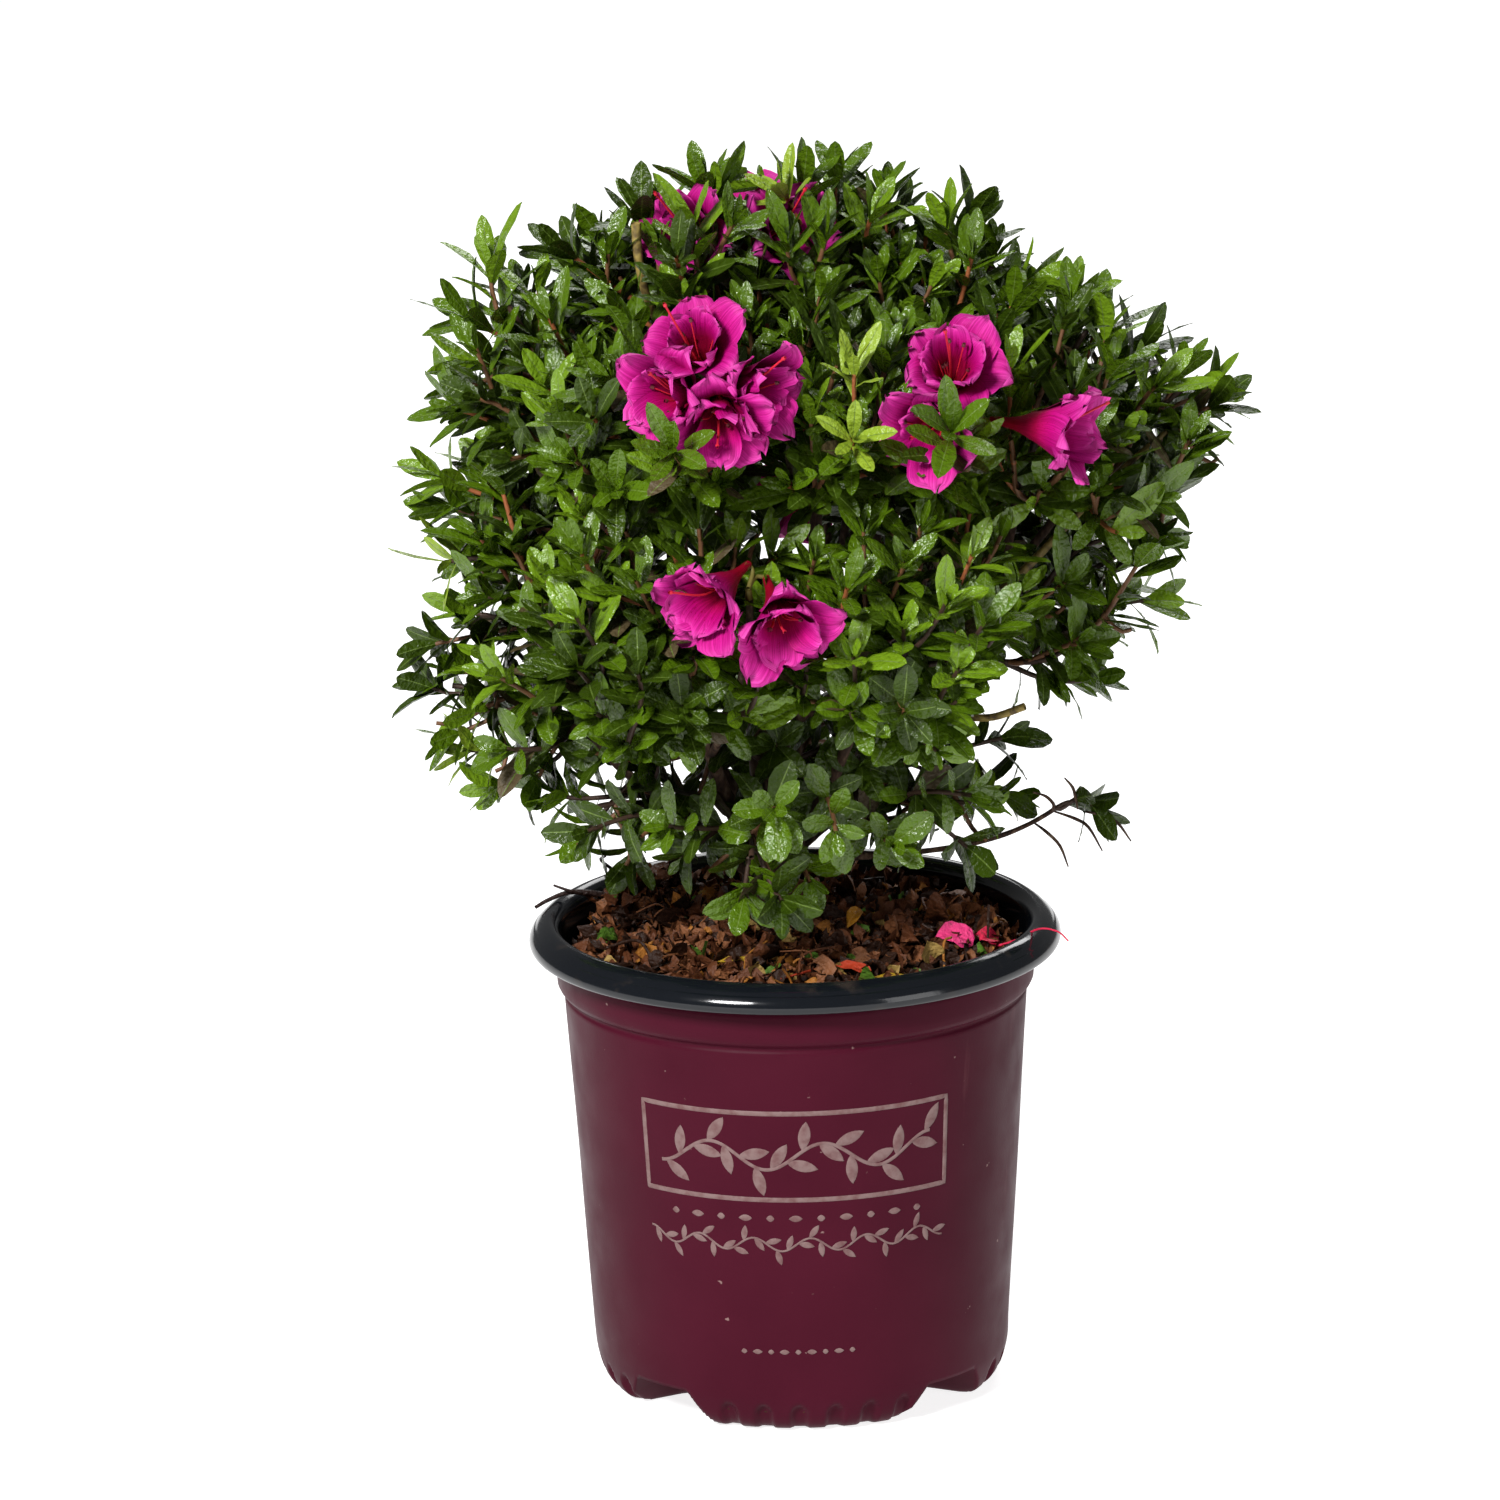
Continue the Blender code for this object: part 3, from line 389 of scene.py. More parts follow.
# Shoots that stand out of the crown's outline or in front of it: the tip, the way it
# points, and a mark on those of young leaves and those before the flowers
BEFORE = -1
LEADERS = (
    (-110, 0, 437, 0, 0, 1), (-80, 4, 441, -0.15, 0, 1), (-53, 0, 454, -0.7, 0, 0.6),
    (-29, 0, 465, -0.36, 0, 0.93), (-24, 5, 463, 0.75, 0, 0.65),
    (1, -10, 465, -0.3, 0, 0.94, YOUNG), (8, 0, 465, 0.19, 0, 0.98), (33, 0, 453, -0.28, 0, 0.96),
    (61, 0, 448, -0.2, 0, 0.98), (70, 4, 448, 0.85, 0, 0.5), (107, 0, 419, 0.45, 0, 0.89),
    (134, 0, 401, 0.63, 0, 0.78), (156, 2, 382, 0.6, 0, 0.8), (160, -4, 380, 1, 0, 0.06),
    (136, 0, 304, 0.98, 0, 0.2), (113, 0, 273, 0.98, 0, 0.2), (80, -4, 252, 0.94, 0, 0.33),
    (115, -6, 224, 0.85, 0, 0.45), (-118, 0, 418, -0.87, 0, 0.5), (-113, 4, 399, -0.98, 0, 0.2),
    (-130, 0, 357, -0.9, 0, 0.43), (-126, 6, 343, -0.96, 0, 0.25),
    (-129, -5, 325, -0.85, 0, 0.53), (-121, 0, 304, -0.99, 0, 0.17),
    (-125, 0, 281, -0.99, 0, 0.16), (-122, 0, 250, -0.99, 0, 0.13),
    (-88, -10, 234, -0.8, 0, -0.6), (-40, -46, 452, 0, 0, 1), (-6, -50, 452, 0, 0, 1),
    (12, -46, 448, 0.1, 0, 1), (-34, -30, 458, -0.1, -0.1, 1), (-18, -34, 460, 0, -0.1, 1),
    (2, -32, 458, 0, -0.1, 1), (16, -28, 452, 0.2, -0.1, 1), (-134, 0, 292, -0.97, 0, -0.1),
    (-136, 0, 275, -0.95, 0, -0.25), (-130, 0, 255, -0.9, 0, -0.35),
    (-96, -4, 240, -0.9, 0, -0.25), (-78, -20, 222, -0.6, -0.2, -0.7),
    (-62, -26, 214, -0.5, -0.3, -0.8), (72, -20, 232, 0.9, -0.1, 0.1),
    (66, -26, 215, 0.7, -0.3, -0.5), (148, 0, 392, 0.3, 0, 0.95), (118, 0, 412, 0.3, 0, 0.95),
    (92, 0, 428, 0.5, 0, 0.85), (132, 0, 330, 0.98, 0, 0.15), (-122, 0, 265, -0.99, 0, -0.05),
    (-112, 0, 236, -0.95, 0, -0.3), (27, -112, 428, 0.1, -0.3, 1, YOUNG),
    (24, -112, 396, 0.3, -0.4, 0.9, YOUNG), (-14, -56, 446, -0.1, -0.2, 1),
    (-40, -52, 438, -0.4, -0.2, 0.9), (14, -54, 440, 0.2, -0.2, 1),
    (-42, -124, 396, -0.2, -0.3, 0.9, BEFORE), (60, -121, 400, 0.15, -0.1, 1, BEFORE),
    (-19, -72, 211, -0.1, -0.4, -0.9), (-5, -76, 210, 0.2, -0.4, -0.9),
)

# Flowers
PETALS = 5
PETALOIDS = 5
STAMENS = 7
TUBE_LENGTH = 17.0
PETAL_ROWS, PETAL_COLUMNS = 17, 11
PETAL_HALF = 11.5
THROAT_R = 5.0
FLOWER_FORM = {  # size, and how far each flower's petals close
    "bloom_left": (0.86, (0.2, 0.3, 0.25, 0.4)),
    "bloom_low": (1.0, (0.45, 0.45)),
    "bloom_right": (0.92, (0.25, 0.35, 0.8)),
    "bloom_top": (0.85, (0.4, 0.4)),
    "bloom_back_left": (0.9, (0.1, 0.2)),
    "bloom_back_right": (0.9, (0.2, 0.1)),
}
PETAL_FRILL = 2.3
# (radius, distance in front of the throat) from the foot of the tube to a petal's tip
PETAL_LINE = ((1.4, -17), (2.0, -10), (3.2, -5), (5.2, -0.5), (8.6, 3.8), (12.6, 7.2), (16.6, 9.4),
              (20.2, 9.9), (22.8, 8.4))


# ---------------------------------------------------------------- meshes


class Patchwork:
    """Many patches of quads gathered into one mesh."""

    def __init__(self):
        self.points, self.quads, self.kinds, self.count = [], [], [], 0

    def add(self, grids, kinds, closed=False):
        """Grids of points shaped (patches, rows, columns, 3), with each quad's material number."""
        grids = np.asarray(grids, float)
        n, rows, columns, _ = grids.shape
        index = np.arange(n * rows * columns).reshape(n, rows, columns) + self.count
        if closed:
            index = np.concatenate((index, index[:, :, :1]), axis=2)
        corners = (index[:, :-1, :-1], index[:, :-1, 1:], index[:, 1:, 1:], index[:, 1:, :-1])
        quads = np.stack(corners, axis=-1)
        self.points.append(grids.reshape(-1, 3))
        self.quads.append(quads.reshape(-1, 4))
        self.kinds.append(np.broadcast_to(kinds, quads.shape[:3]).reshape(-1))
        self.count += n * rows * columns

    def rod(self, path, radii, kind, sides=TUBE_SIDES):
        """A round rod along a path."""
        self.add(tube(path, radii, sides)[None], kind, closed=True)

    def build(self, name, mats):
        points = np.concatenate(self.points) * MM
        quads = np.concatenate(self.quads)
        mesh = bpy.data.meshes.new(name)
        mesh.vertices.add(len(points))
        mesh.vertices.foreach_set("co", points.astype(np.float32).ravel())
        mesh.loops.add(quads.size)
        mesh.loops.foreach_set("vertex_index", quads.astype(np.int32).ravel())
        mesh.polygons.add(len(quads))
        mesh.polygons.foreach_set("loop_start", np.arange(0, quads.size, 4, dtype=np.int32))
        mesh.polygons.foreach_set("material_index", np.concatenate(self.kinds).astype(np.int32))
        mesh.polygons.foreach_set("use_smooth", np.full(len(quads), True))
        for mat in mats:
            mesh.materials.append(mat)
        mesh.update(calc_edges=True)
        ob = bpy.data.objects.new(name, mesh)
        bpy.context.scene.collection.objects.link(ob)
        return ob


def piece(ob, slot, *nodes):
    """A finished piece of the plant: it rides on the body and stands for the given nodes."""
    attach(ob, BODY)
    if nodes:
        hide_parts(*nodes)


def unit(v):
    return v / np.maximum(np.linalg.norm(v, axis=-1, keepdims=True), 1e-9)


def jitter(rng):
    return Vector([rng.uniform(-1, 1) for _ in range(3)])


def share_of(value, low, high):
    """How far a value lies from low to high, from 0 to 1."""
    return min(1.0, max(0.0, (value - low) / (high - low)))


def cubic(ends, t):
    """A place on the Bezier curve with these ends and handles."""
    a, b, c, d = ends
    s = 1 - t
    return a * s**3 + b * 3 * s * s * t + c * 3 * s * t * t + d * t**3


def bezier(ends, count):
    return cubic([np.array(e, float) for e in ends], np.linspace(0, 1, count)[:, None])


def smooth_line(points, per_span):
    """A Catmull-Rom curve through the points."""
    p = np.array(points, float)
    p = np.concatenate((2 * p[:1] - p[1:2], p, 2 * p[-1:] - p[-2:-1]))
    t = np.arange(per_span)[:, None] / per_span
    spans = []
    for a, b, c, d in zip(p, p[1:], p[2:], p[3:]):
        bend = 2 * b + (c - a) * t + (2 * a - 5 * b + 4 * c - d) * t**2
        spans.append((bend + (3 * b - a - 3 * c + d) * t**3) / 2)
    return np.concatenate(spans + [p[-2:-1]])


def tube(points, radii, sides=TUBE_SIDES):
    """Rings of points round a path."""
    points = np.asarray(points, float)
    ahead = unit(np.gradient(points, axis=0))
    side = np.cross(ahead[0], (0.31, 0.52, 0.8))
    rings = []
    angles = np.linspace(0, math.tau, sides, endpoint=False)
    for p, a, r in zip(points, ahead, radii):
        side = unit(side - a * side.dot(a))
        across = np.cross(a, side)
        rings.append(p + r * (np.cos(angles)[:, None] * side + np.sin(angles)[:, None] * across))
    return np.array(rings)


# ---------------------------------------------------------------- materials


def material(name, colour, roughness, specular):
    mat = bpy.data.materials.new(name)
    mat.use_nodes = True
    bsdf = mat.node_tree.nodes["Principled BSDF"]
    bsdf.inputs["Base Color"].default_value = (*colour, 1)
    bsdf.inputs["Roughness"].default_value = roughness
    bsdf.inputs["Specular IOR Level"].default_value = specular
    return mat


def node(mat, kind, **values):
    """A shader node with its properties and plain inputs set."""
    made = mat.node_tree.nodes.new("ShaderNode" + kind)
    for key, value in values.items():
        if hasattr(made, key):
            setattr(made, key, value)
        else:
            made.inputs[key.replace("_", " ")].default_value = value
    return made


def link(mat, source, target):
    mat.node_tree.links.new(source, target)


def paint(mat, socket, source):
    link(mat, source, mat.node_tree.nodes["Principled BSDF"].inputs[socket])


def noise_of(mat, scale, detail, stretch=(1, 1, 1)):
    """Noise in the piece's own coordinates, which are metres."""
    return noise_at(mat, node(mat, "TexCoord").outputs["Object"], scale, detail, stretch)


def noise_at(mat, place, scale, detail, stretch):
    mapping = node(mat, "Mapping", Scale=stretch)
    texture = node(mat, "TexNoise", Scale=scale, Detail=detail)
    link(mat, place, mapping.inputs["Vector"])
    link(mat, mapping.outputs["Vector"], texture.inputs["Vector"])
    return texture.outputs["Fac"]


def ramp(mat, source, *stops):
    """A colour ramp with (position, colour) stops."""
    made = node(mat, "ValToRGB")
    elements = made.color_ramp.elements
    while len(elements) < len(stops):
        elements.new(0.5)
    for element, (place, colour) in zip(elements, stops):
        element.position = place
        element.color = (*colour, 1)
    link(mat, source, made.inputs["Fac"])
    return made.outputs["Color"]


def grey(value):
    return (value, value, value)


def bump(mat, source, strength, distance):
    made = node(mat, "Bump", Strength=strength, Distance=distance)
    link(mat, source, made.inputs["Height"])
    paint(mat, "Normal", made.outputs["Normal"])


def mix_colours(mat, amount, low, high):
    made = node(mat, "Mix", data_type="RGBA")
    link(mat, amount, made.inputs["Factor"])
    for source, socket in ((low, made.inputs[6]), (high, made.inputs[7])):
        if isinstance(source, tuple):
            socket.default_value = (*source, 1)
        else:
            link(mat, source, socket)
    return made.outputs[2]


def grained(name, colour, roughness, specular, grain, relief, *stops):
    """A material whose noise gives its relief and, where it has stops, its colour."""
    mat = material(name, colour, roughness, specular)
    source = noise_of(mat, *grain)
    if stops:
        paint(mat, "Base Color", ramp(mat, source, *stops))
    bump(mat, source, *relief)
    return mat


def shell_material():
    """Maroon blown plastic: faint mottling, scratches and scuffs."""
    mat = material("pot_maroon", (0.046, 0.0040, 0.0110), 0.48, 0.05)
    mottle = noise_of(mat, 22, 3)
    base = ramp(mat, mottle, (0.3, (0.040, 0.0028, 0.0097)), (0.7, (0.048, 0.0038, 0.0120)))
    worn = ramp(mat, noise_of(mat, 9, 6, (9, 9, 1.2)), (0.68, grey(0)), (0.76, grey(0.3)))
    scuffed = mix_colours(mat, worn, base, (0.115, 0.035, 0.042))
    flecks = ramp(mat, noise_of(mat, 190, 5), (0.735, grey(0)), (0.76, grey(0.7)))
    paint(mat, "Base Color", mix_colours(mat, flecks, scuffed, (0.24, 0.15, 0.14)))
    rough = ramp(mat, noise_of(mat, 60, 4), (0.3, grey(0.36)), (0.7, grey(0.50)))
    paint(mat, "Roughness", rough)
    bump(mat, noise_of(mat, 900, 2), 0.06, 0.0004)
    return mat


def rim_material():
    """Black plastic, smooth on its roll and dusty with soil."""
    black = (0.004, 0.005, 0.007)
    mat = material("pot_black", black, 0.12, 0.4)
    dust = noise_of(mat, 70, 8)
    paint(mat, "Base Color", ramp(mat, dust, (0.58, black), (0.80, (0.034, 0.025, 0.020))))
    rough = ramp(mat, noise_of(mat, 30, 5), (0.35, grey(0.07)), (0.7, grey(0.20)))
    paint(mat, "Roughness", rough)
    bump(mat, noise_of(mat, 500, 2), 0.05, 0.0004)
    return mat


def ornament_material():
    """Worn taupe print."""
    mat = material("ornament_taupe", (0.205, 0.130, 0.122), 0.6, 0.15)
    wear = noise_of(mat, 300, 6)
    worn = ramp(mat, wear, (0.42, (0.158, 0.100, 0.096)), (0.70, (0.110, 0.052, 0.052)))
    paint(mat, "Base Color", worn)
    return mat


def mix_material():
    return grained("potting_mix", (0.02, 0.009, 0.005), 0.95, 0.2, (260, 8), (1.0, 0.002),
                   (0.35, (0.006, 0.003, 0.002)), (0.65, (0.050, 0.020, 0.010)))


def litter_material(name, colour):
    """Dry leaf or bark: finely crumpled."""
    return grained(name, colour, 0.5, 0.22, (480, 5), (1.0, 0.0016))


def bark_material():
    """Old azalea bark: grey-brown, in fine lengthwise flakes."""
    return grained("bark", (0.050, 0.026, 0.015), 0.85, 0.3, (420, 8, (1, 1, 0.35)), (0.8, 0.0012),
                   (0.32, (0.012, 0.006, 0.004)), (0.52, (0.045, 0.022, 0.012)),
                   (0.72, (0.13, 0.085, 0.055)))


def shoot_material():
    """Young bark, olive and tan with darker scars."""
    return grained("shoot_bark", (0.20, 0.14, 0.035), 0.55, 0.35, (240, 6), (0.8, 0.0008),
                   (0.36, (0.060, 0.036, 0.014)), (0.58, (0.26, 0.19, 0.050)))


def twig_material(name, colour):
    return grained(name, colour, 0.55, 0.4, (700, 3), (0.6, 0.0006))


def leaf_material(name, colour, roughness, specular=0.45):
    """A glossy leaf whose veins show as fine quilting."""
    return grained(name, colour, roughness, specular, (430, 3), (1.0, 0.0013))


def petal_material():
    """Magenta, crimson in the throat, with fine veins and dark freckles."""
    mat = material("petal_magenta", (0.50, 0.006, 0.22), 0.5, 0.08)
    mark = node(mat, "Attribute", attribute_name="petal")
    parts = node(mat, "SeparateXYZ")
    link(mat, mark.outputs["Vector"], parts.inputs[0])
    base = ramp(mat, parts.outputs["X"], (0.20, (0.20, 0.001, 0.012)),
                (0.44, (0.27, 0.001, 0.038)), (0.62, (0.36, 0.0016, 0.130)),
                (0.80, (0.43, 0.011, 0.200)), (0.97, (0.50, 0.038, 0.270)))
    veins = noise_at(mat, mark.outputs["Vector"], 2.2, 3, (0.8, 11, 3))
    shade = ramp(mat, veins, (0.36, (0.70, 0.50, 0.64)), (0.64, (1.14, 1.6, 1.2)))
    veined = node(mat, "Mix", data_type="RGBA", blend_type="MULTIPLY")
    veined.inputs["Factor"].default_value = 1.0
    link(mat, base, veined.inputs[6])
    link(mat, shade, veined.inputs[7])
    dots = noise_at(mat, mark.outputs["Vector"], 1.6, 1, (26, 9, 5))
    freckles = ramp(mat, dots, (0.66, grey(0)), (0.70, grey(0.8)))
    middle = ramp(mat, parts.outputs["X"], (0.36, grey(0)), (0.46, grey(1)), (0.66, grey(1)),
                  (0.80, grey(0)))
    spotted = node(mat, "Math", operation="MULTIPLY")
    link(mat, freckles, spotted.inputs[0])
    link(mat, middle, spotted.inputs[1])
    colour = mix_colours(mat, spotted.outputs[0], veined.outputs[2], (0.20, 0.0, 0.03))
    paint(mat, "Base Color", colour)
    bump(mat, veins, 0.35, 0.0008)
    return mat


# ---------------------------------------------------------------- pot


def turned(line):
    """Points of a turned surface: rows follow the line, columns go round."""
    line = np.array(line, float)
    a = np.linspace(0, math.tau, POT_SEGMENTS, endpoint=False)
    r, z = line[:, :1], np.broadcast_to(line[:, 1:], (len(line), POT_SEGMENTS))
    return np.stack((r * np.sin(a), -r * np.cos(a), z), axis=-1)


def foot_shape(points):
    """Cuts the notches between the feet and the flutes in each foot."""
    x, y, z = points[..., 0], points[..., 1], points[..., 2]
    r, a = np.hypot(x, y), np.arctan2(x, -y) - FOOT_TURN
    quarter = math.tau / FEET
    from_notch = np.abs((a % quarter) - quarter / 2)
    slope = (NOTCH_FOOT_HALF - from_notch) / (NOTCH_FOOT_HALF - NOTCH_TOP_HALF)
    inner, outer = NOTCH_R
    rise = np.clip((r - inner) / (outer - inner), 0, 1)
    roof = NOTCH_Z * np.clip(slope, 0, 1) ** 1.2 * rise
    from_foot = (a + quarter / 2) % quarter - quarter / 2 - FLUTE_TURN
    span = (FLUTES - 1) / 2
    flute = np.clip(np.round(from_foot / FLUTE_STEP + span), 0, FLUTES - 1) - span
    off = np.abs(from_foot - flute * FLUTE_STEP) / FLUTE_HALF
    top = FLUTE_TOP - FLUTE_ARCH * off**2
    groove = np.clip((1.15 - off) * 2.5, 0, 1) * np.clip((top - z) / 1.8, 0, 1) * (r > FLUTE_R)
    scale = (r - FLUTE_DEPTH * groove) / r
    points[..., 0], points[..., 1] = x * scale, y * scale
    points[..., 2] = np.where(z < NOTCH_Z, np.maximum(z, roof), z)
    return points


def wall_radius(z):
    t = (z - WALL_LOW_Z) / (WALL_HIGH_Z - WALL_LOW_Z)
    return WALL_LOW_R + t * (WALL_HIGH_R - WALL_LOW_R)


def wall_push(x, y, z):
    """How far the blown wall bulges at a place, because it is never quite round."""
    return noise.noise(Vector((x, y, z)) * BULGE_RATE) * BULGE if z > BULGE_Z else 0.0


def pot_wall(points):
    for p in points.reshape(-1, 3):
        push = wall_push(*p) / max(math.hypot(p[0], p[1]), 1.0)
        p[0] += p[0] * push
        p[1] += p[1] * push
    return points


def on_wall(flat, lift):
    """Places given as (distance round from the front, height), brought onto the pot's wall."""
    flat = np.asarray(flat, float)
    out = np.zeros((*flat.shape[:-1], 3))
    for at in np.ndindex(flat.shape[:-1]):
        round_by, z = flat[at]
        r = wall_radius(z)
        a = round_by / ORNAMENT_R
        r += wall_push(r * math.sin(a), -r * math.cos(a), z) + lift
        out[at] = (r * math.sin(a), -r * math.cos(a), z)
    return out


def ribbon(path, width):
    """A thin raised line on the wall, rounded over across its width."""
    path = np.asarray(path, float)
    ahead = unit(np.gradient(path, axis=0))
    side = np.stack((-ahead[:, 1], ahead[:, 0]), axis=1)
    across = np.array((-0.5, -0.35, 0.35, 0.5)) * width
    flat = path[:, None] + side[:, None] * across[None, :, None]
    sunk, raised = on_wall(flat, ORNAMENT_SUNK), on_wall(flat, ORNAMENT_LIFT)
    return np.concatenate((sunk[:, :1], raised[:, 1:-1], sunk[:, -1:]), axis=1)


def sprig_leaf(foot, angle, length, width):
    """An almond-shaped raised leaf on the wall."""
    t = np.linspace(0, 1, 9)[:, None]
    s = np.array((-1, -0.7, 0, 0.7, 1))[None]
    half = np.sin(math.pi * t) ** 0.8 * width / 2
    along, side = t * length * np.ones_like(s), half * s
    c, n = math.cos(angle), math.sin(angle)
    flat = np.stack((foot[0] + along * c - side * n, foot[1] + along * n + side * c), axis=-1)
    lifts = (ORNAMENT_SUNK, ORNAMENT_LIFT, ORNAMENT_LIFT * 0.6, ORNAMENT_LIFT, ORNAMENT_SUNK)
    return np.stack([on_wall(flat[:, j], lift) for j, lift in enumerate(lifts)], axis=1)


def frame_path(half_width, low, high):
    """Once round a rectangle, closed, with points close enough to follow the wall."""
    corners = [(-half_width, low), (half_width, low), (half_width, high), (-half_width, high)]
    path = []
    for (x0, z0), (x1, z1) in zip(corners, corners[1:] + corners[:1]):
        count = max(2, int(math.hypot(x1 - x0, z1 - z0) / 2))
        path += [(x0 + (x1 - x0) * k / count, z0 + (z1 - z0) * k / count) for k in range(count)]
    return path + path[:2]


def sprig(patches, span, height, wave, turns, stem, leaf, every):
    """A waving stem with leaves on both sides, from one side of the print to the other."""
    middle = ORNAMENT_TURN
    rate = turns * math.pi / span

    def stem_z(x):
        return height + wave * math.sin((x - middle) * rate)

    xs = np.linspace(middle - span, middle + span, 110)
    patches.add(ribbon([(x, stem_z(x)) for x in xs], stem)[None], 0)
    for k, x in enumerate(np.arange(middle - span + 2, middle + span - 1, every)):
        up = 1 if k % 2 else -1
        slope = math.atan(wave * rate * math.cos((x - middle) * rate))
        blade = sprig_leaf((x, stem_z(x)), slope + up * 0.85, leaf, leaf * 0.42)
        patches.add(blade[None], 0)


def dashes(patches, height, count, step, length):
    """A row of small almonds."""
    for k in range(count):
        x = ORNAMENT_TURN + (k - (count - 1) / 2) * step
        long = length * (1 if k % 2 else 0.6)
        patches.add(sprig_leaf((x - long / 2, height), 0.0, long, length * 0.55)[None], 0)


def make_ornament():
    """A plain framed sprig on the wall, with beads, a finer sprig and dashes below it."""
    patches = Patchwork()
    low, high = ORNAMENT_LOW, ORNAMENT_HIGH
    path = [(x + ORNAMENT_TURN, z) for x, z in frame_path(ORNAMENT_HALF, low, high)]
    patches.add(ribbon(path, 2.1)[None], 0)
    sprig(patches, span=53, height=(low + high) / 2, wave=5.2, turns=2.5, stem=1.5, leaf=12.0,
          every=6.0)
    dashes(patches, height=low - 7.5, count=11, step=9.6, length=5.2)
    sprig(patches, span=60, height=low - 18, wave=2.6, turns=5.5, stem=0.9, leaf=6.4, every=4.2)
    dashes(patches, height=34, count=9, step=5.4, length=4.0)
    piece(patches.build("pot_ornament", [ornament_material()]), None, "pot")


def make_pot():
    """The pot's outside, then its rolled lip and inside, turned from (radius, height) lines."""
    foot = [(0.5, 0), (25, 0), (50, 0), (52, 0), (54, 0), (56, 0), (58, 0), (62, 0), (66.5, 0)]
    side = [(69.4, 0.3), (71.8, 1.0), (73.6, 2.0), (74.9, 3.2), (75.9, 4.6), (76.7, 6.0),
            (77.3, 7.6), (77.75, 9.0), (78.1, 10.4), (78.4, 11.6), (78.7, 12.8), (78.95, 14.2)]
    wall = [(wall_radius(z), z) for z in np.linspace(WALL_LOW_Z, WALL_HIGH_Z - 3, 22)]
    step = smooth_line([(88.1, 153.7), (87.5, 155.0), (87.8, 156.2), (89.7, 157.4),
                        (90.7, 159.2)], 3)
    band = [(90.9, 162), (91.0, 165), (90.9, 168), (90.8, 169.6), (90.2, 170.5), (90.3, 171.3),
            (91.2, 171.9), (91.7, 172.5)]
    outside = turned([*foot, *side, *wall, *step, *band])
    roll = smooth_line([(91.7, 172.5), (96.4, 172.4), (100.2, 172.7), (101.3, 174.6),
                        (100.9, 176.9), (99.6, 178.9), (98.9, 179.5), (97.6, 180.9),
                        (95.6, 182.3), (93.6, 183.0), (91.6, 182.5), (89.8, 180.8),
                        (88.6, 178.4)], 4)
    within = [(89.2, 172), (89.1, 166), (89.0, 160), (86.3, 153.7), (85.0, 134), (81.8, 85),
              (77.6, 17.9), (66, 16.4), (30, 16.2), (0.5, 16.2)]
    shell = Patchwork()
    shell.add(pot_wall(foot_shape(outside))[None], 0, closed=True)
    piece(shell.build("pot_shell", [shell_material()]), "pot_maroon", "pot")
    rim = Patchwork()
    rim.add(turned([*roll, *within])[None], 0, closed=True)
    piece(rim.build("pot_rim", [rim_material()]), None, "pot")


# ---------------------------------------------------------------- litter


def soil_height(x, y):
    """The mix is flat round the trunk, falls to the wall and is heaped at one side."""
    r = math.hypot(x, y)
    edge = wall_radius(SOIL_EDGE_Z)
    t = max(0.0, (r - SOIL_FLAT_R) / (edge - SOIL_FLAT_R))
    mound = SOIL_TOP - (SOIL_TOP - SOIL_EDGE_Z) * t ** MOUND_CURVE
    away = math.hypot(x - HEAP_AT[0], y - HEAP_AT[1]) / HEAP_SPREAD
    return mound + HEAP_RISE * math.exp(-away * away) * min(1.0, t * 4)


def leaf_grids(root, way, face, length, wide, bend, fold, curl, ripple, stations=LEAF_ROWS):
    """Leaves as grids of points, shaped (leaves, rows, columns, 3).

    way is each leaf's direction at its root and face its upper side. bend turns
    it down along its length, fold raises its halves and curl rolls its margins.
    """
    way, face = unit(way), np.asarray(face, float)
    side = unit(np.cross(way, face))
    face = np.cross(side, way)
    u, s = stations[None, :, None], LEAF_COLUMNS[None, None, :]
    length, wide, bend, fold, curl, ripple = (
        np.asarray(v, float)[:, None, None] for v in (length, wide, bend, fold, curl, ripple))
    bend = np.where(np.abs(bend) < 0.02, 0.02, bend)
    half = np.sin(math.pi * u**1.32) ** 0.72 * wide * length / 2 + 0.35
    half = np.where(u == 1, 0.15, half)
    along = length * np.sin(bend * u) / bend
    drop = -length * (1 - np.cos(bend * u)) / bend
    out = half * np.abs(s)
    rise = out * fold - curl * half * s**2
    wave = 0.5 * (-1.0) ** np.arange(len(stations))[None, :, None]
    rise = rise + wave * np.where(np.abs(np.abs(s) - 0.52) < 0.1, 0.55, -0.15) * half / 5
    rise = rise + ripple * np.sin(u * 11 + s * 2) * s**2
    rise = rise - np.where(np.abs(s) < 0.1, 0.25, 0.0)
    cos, sin = np.cos(bend * u), np.sin(bend * u)
    ahead = along + rise * sin
    above = drop + rise * cos
    sideways = half * s * np.ones_like(u)
    spread = [x[..., None] * v[:, None, None, :] for x, v in
              ((ahead, way), (above, face), (sideways, side))]
    return np.asarray(root)[:, None, None, :] + sum(spread)


def scatter_on_mix(rng, count):
    """Places on the mix, with their heights, piled higher on the heap."""
    places = []
    edge = wall_radius(SOIL_EDGE_Z) - WALL - 3
    while len(places) < count:
        r = edge * math.sqrt(rng.uniform(0.02, 1))
        a = rng.uniform(0, math.tau)
        x, y = r * math.sin(a), -r * math.cos(a)
        heap = math.hypot(x - HEAP_AT[0], y - HEAP_AT[1]) < HEAP_SPREAD
        lift = rng.uniform(0.5, 7.0 if heap else 4.5)
        places.append((x, y, soil_height(x, y) + lift))
    return np.array(places)


def random_units(rng, count):
    return unit(rng.normal(size=(count, 3)))


def within_pot(grids, room=0.6):
    """Which patches stay inside the pot's wall or above its rim."""
    r = np.hypot(grids[..., 0], grids[..., 1])
    over_lip = grids[..., 2] > LITTER_LIP_Z
    limit = np.where(over_lip, LIP_R - LITTER_LIP_INSET, wall_radius(SOIL_EDGE_Z) - WALL - room)
    return (r < limit).all(axis=(1, 2))


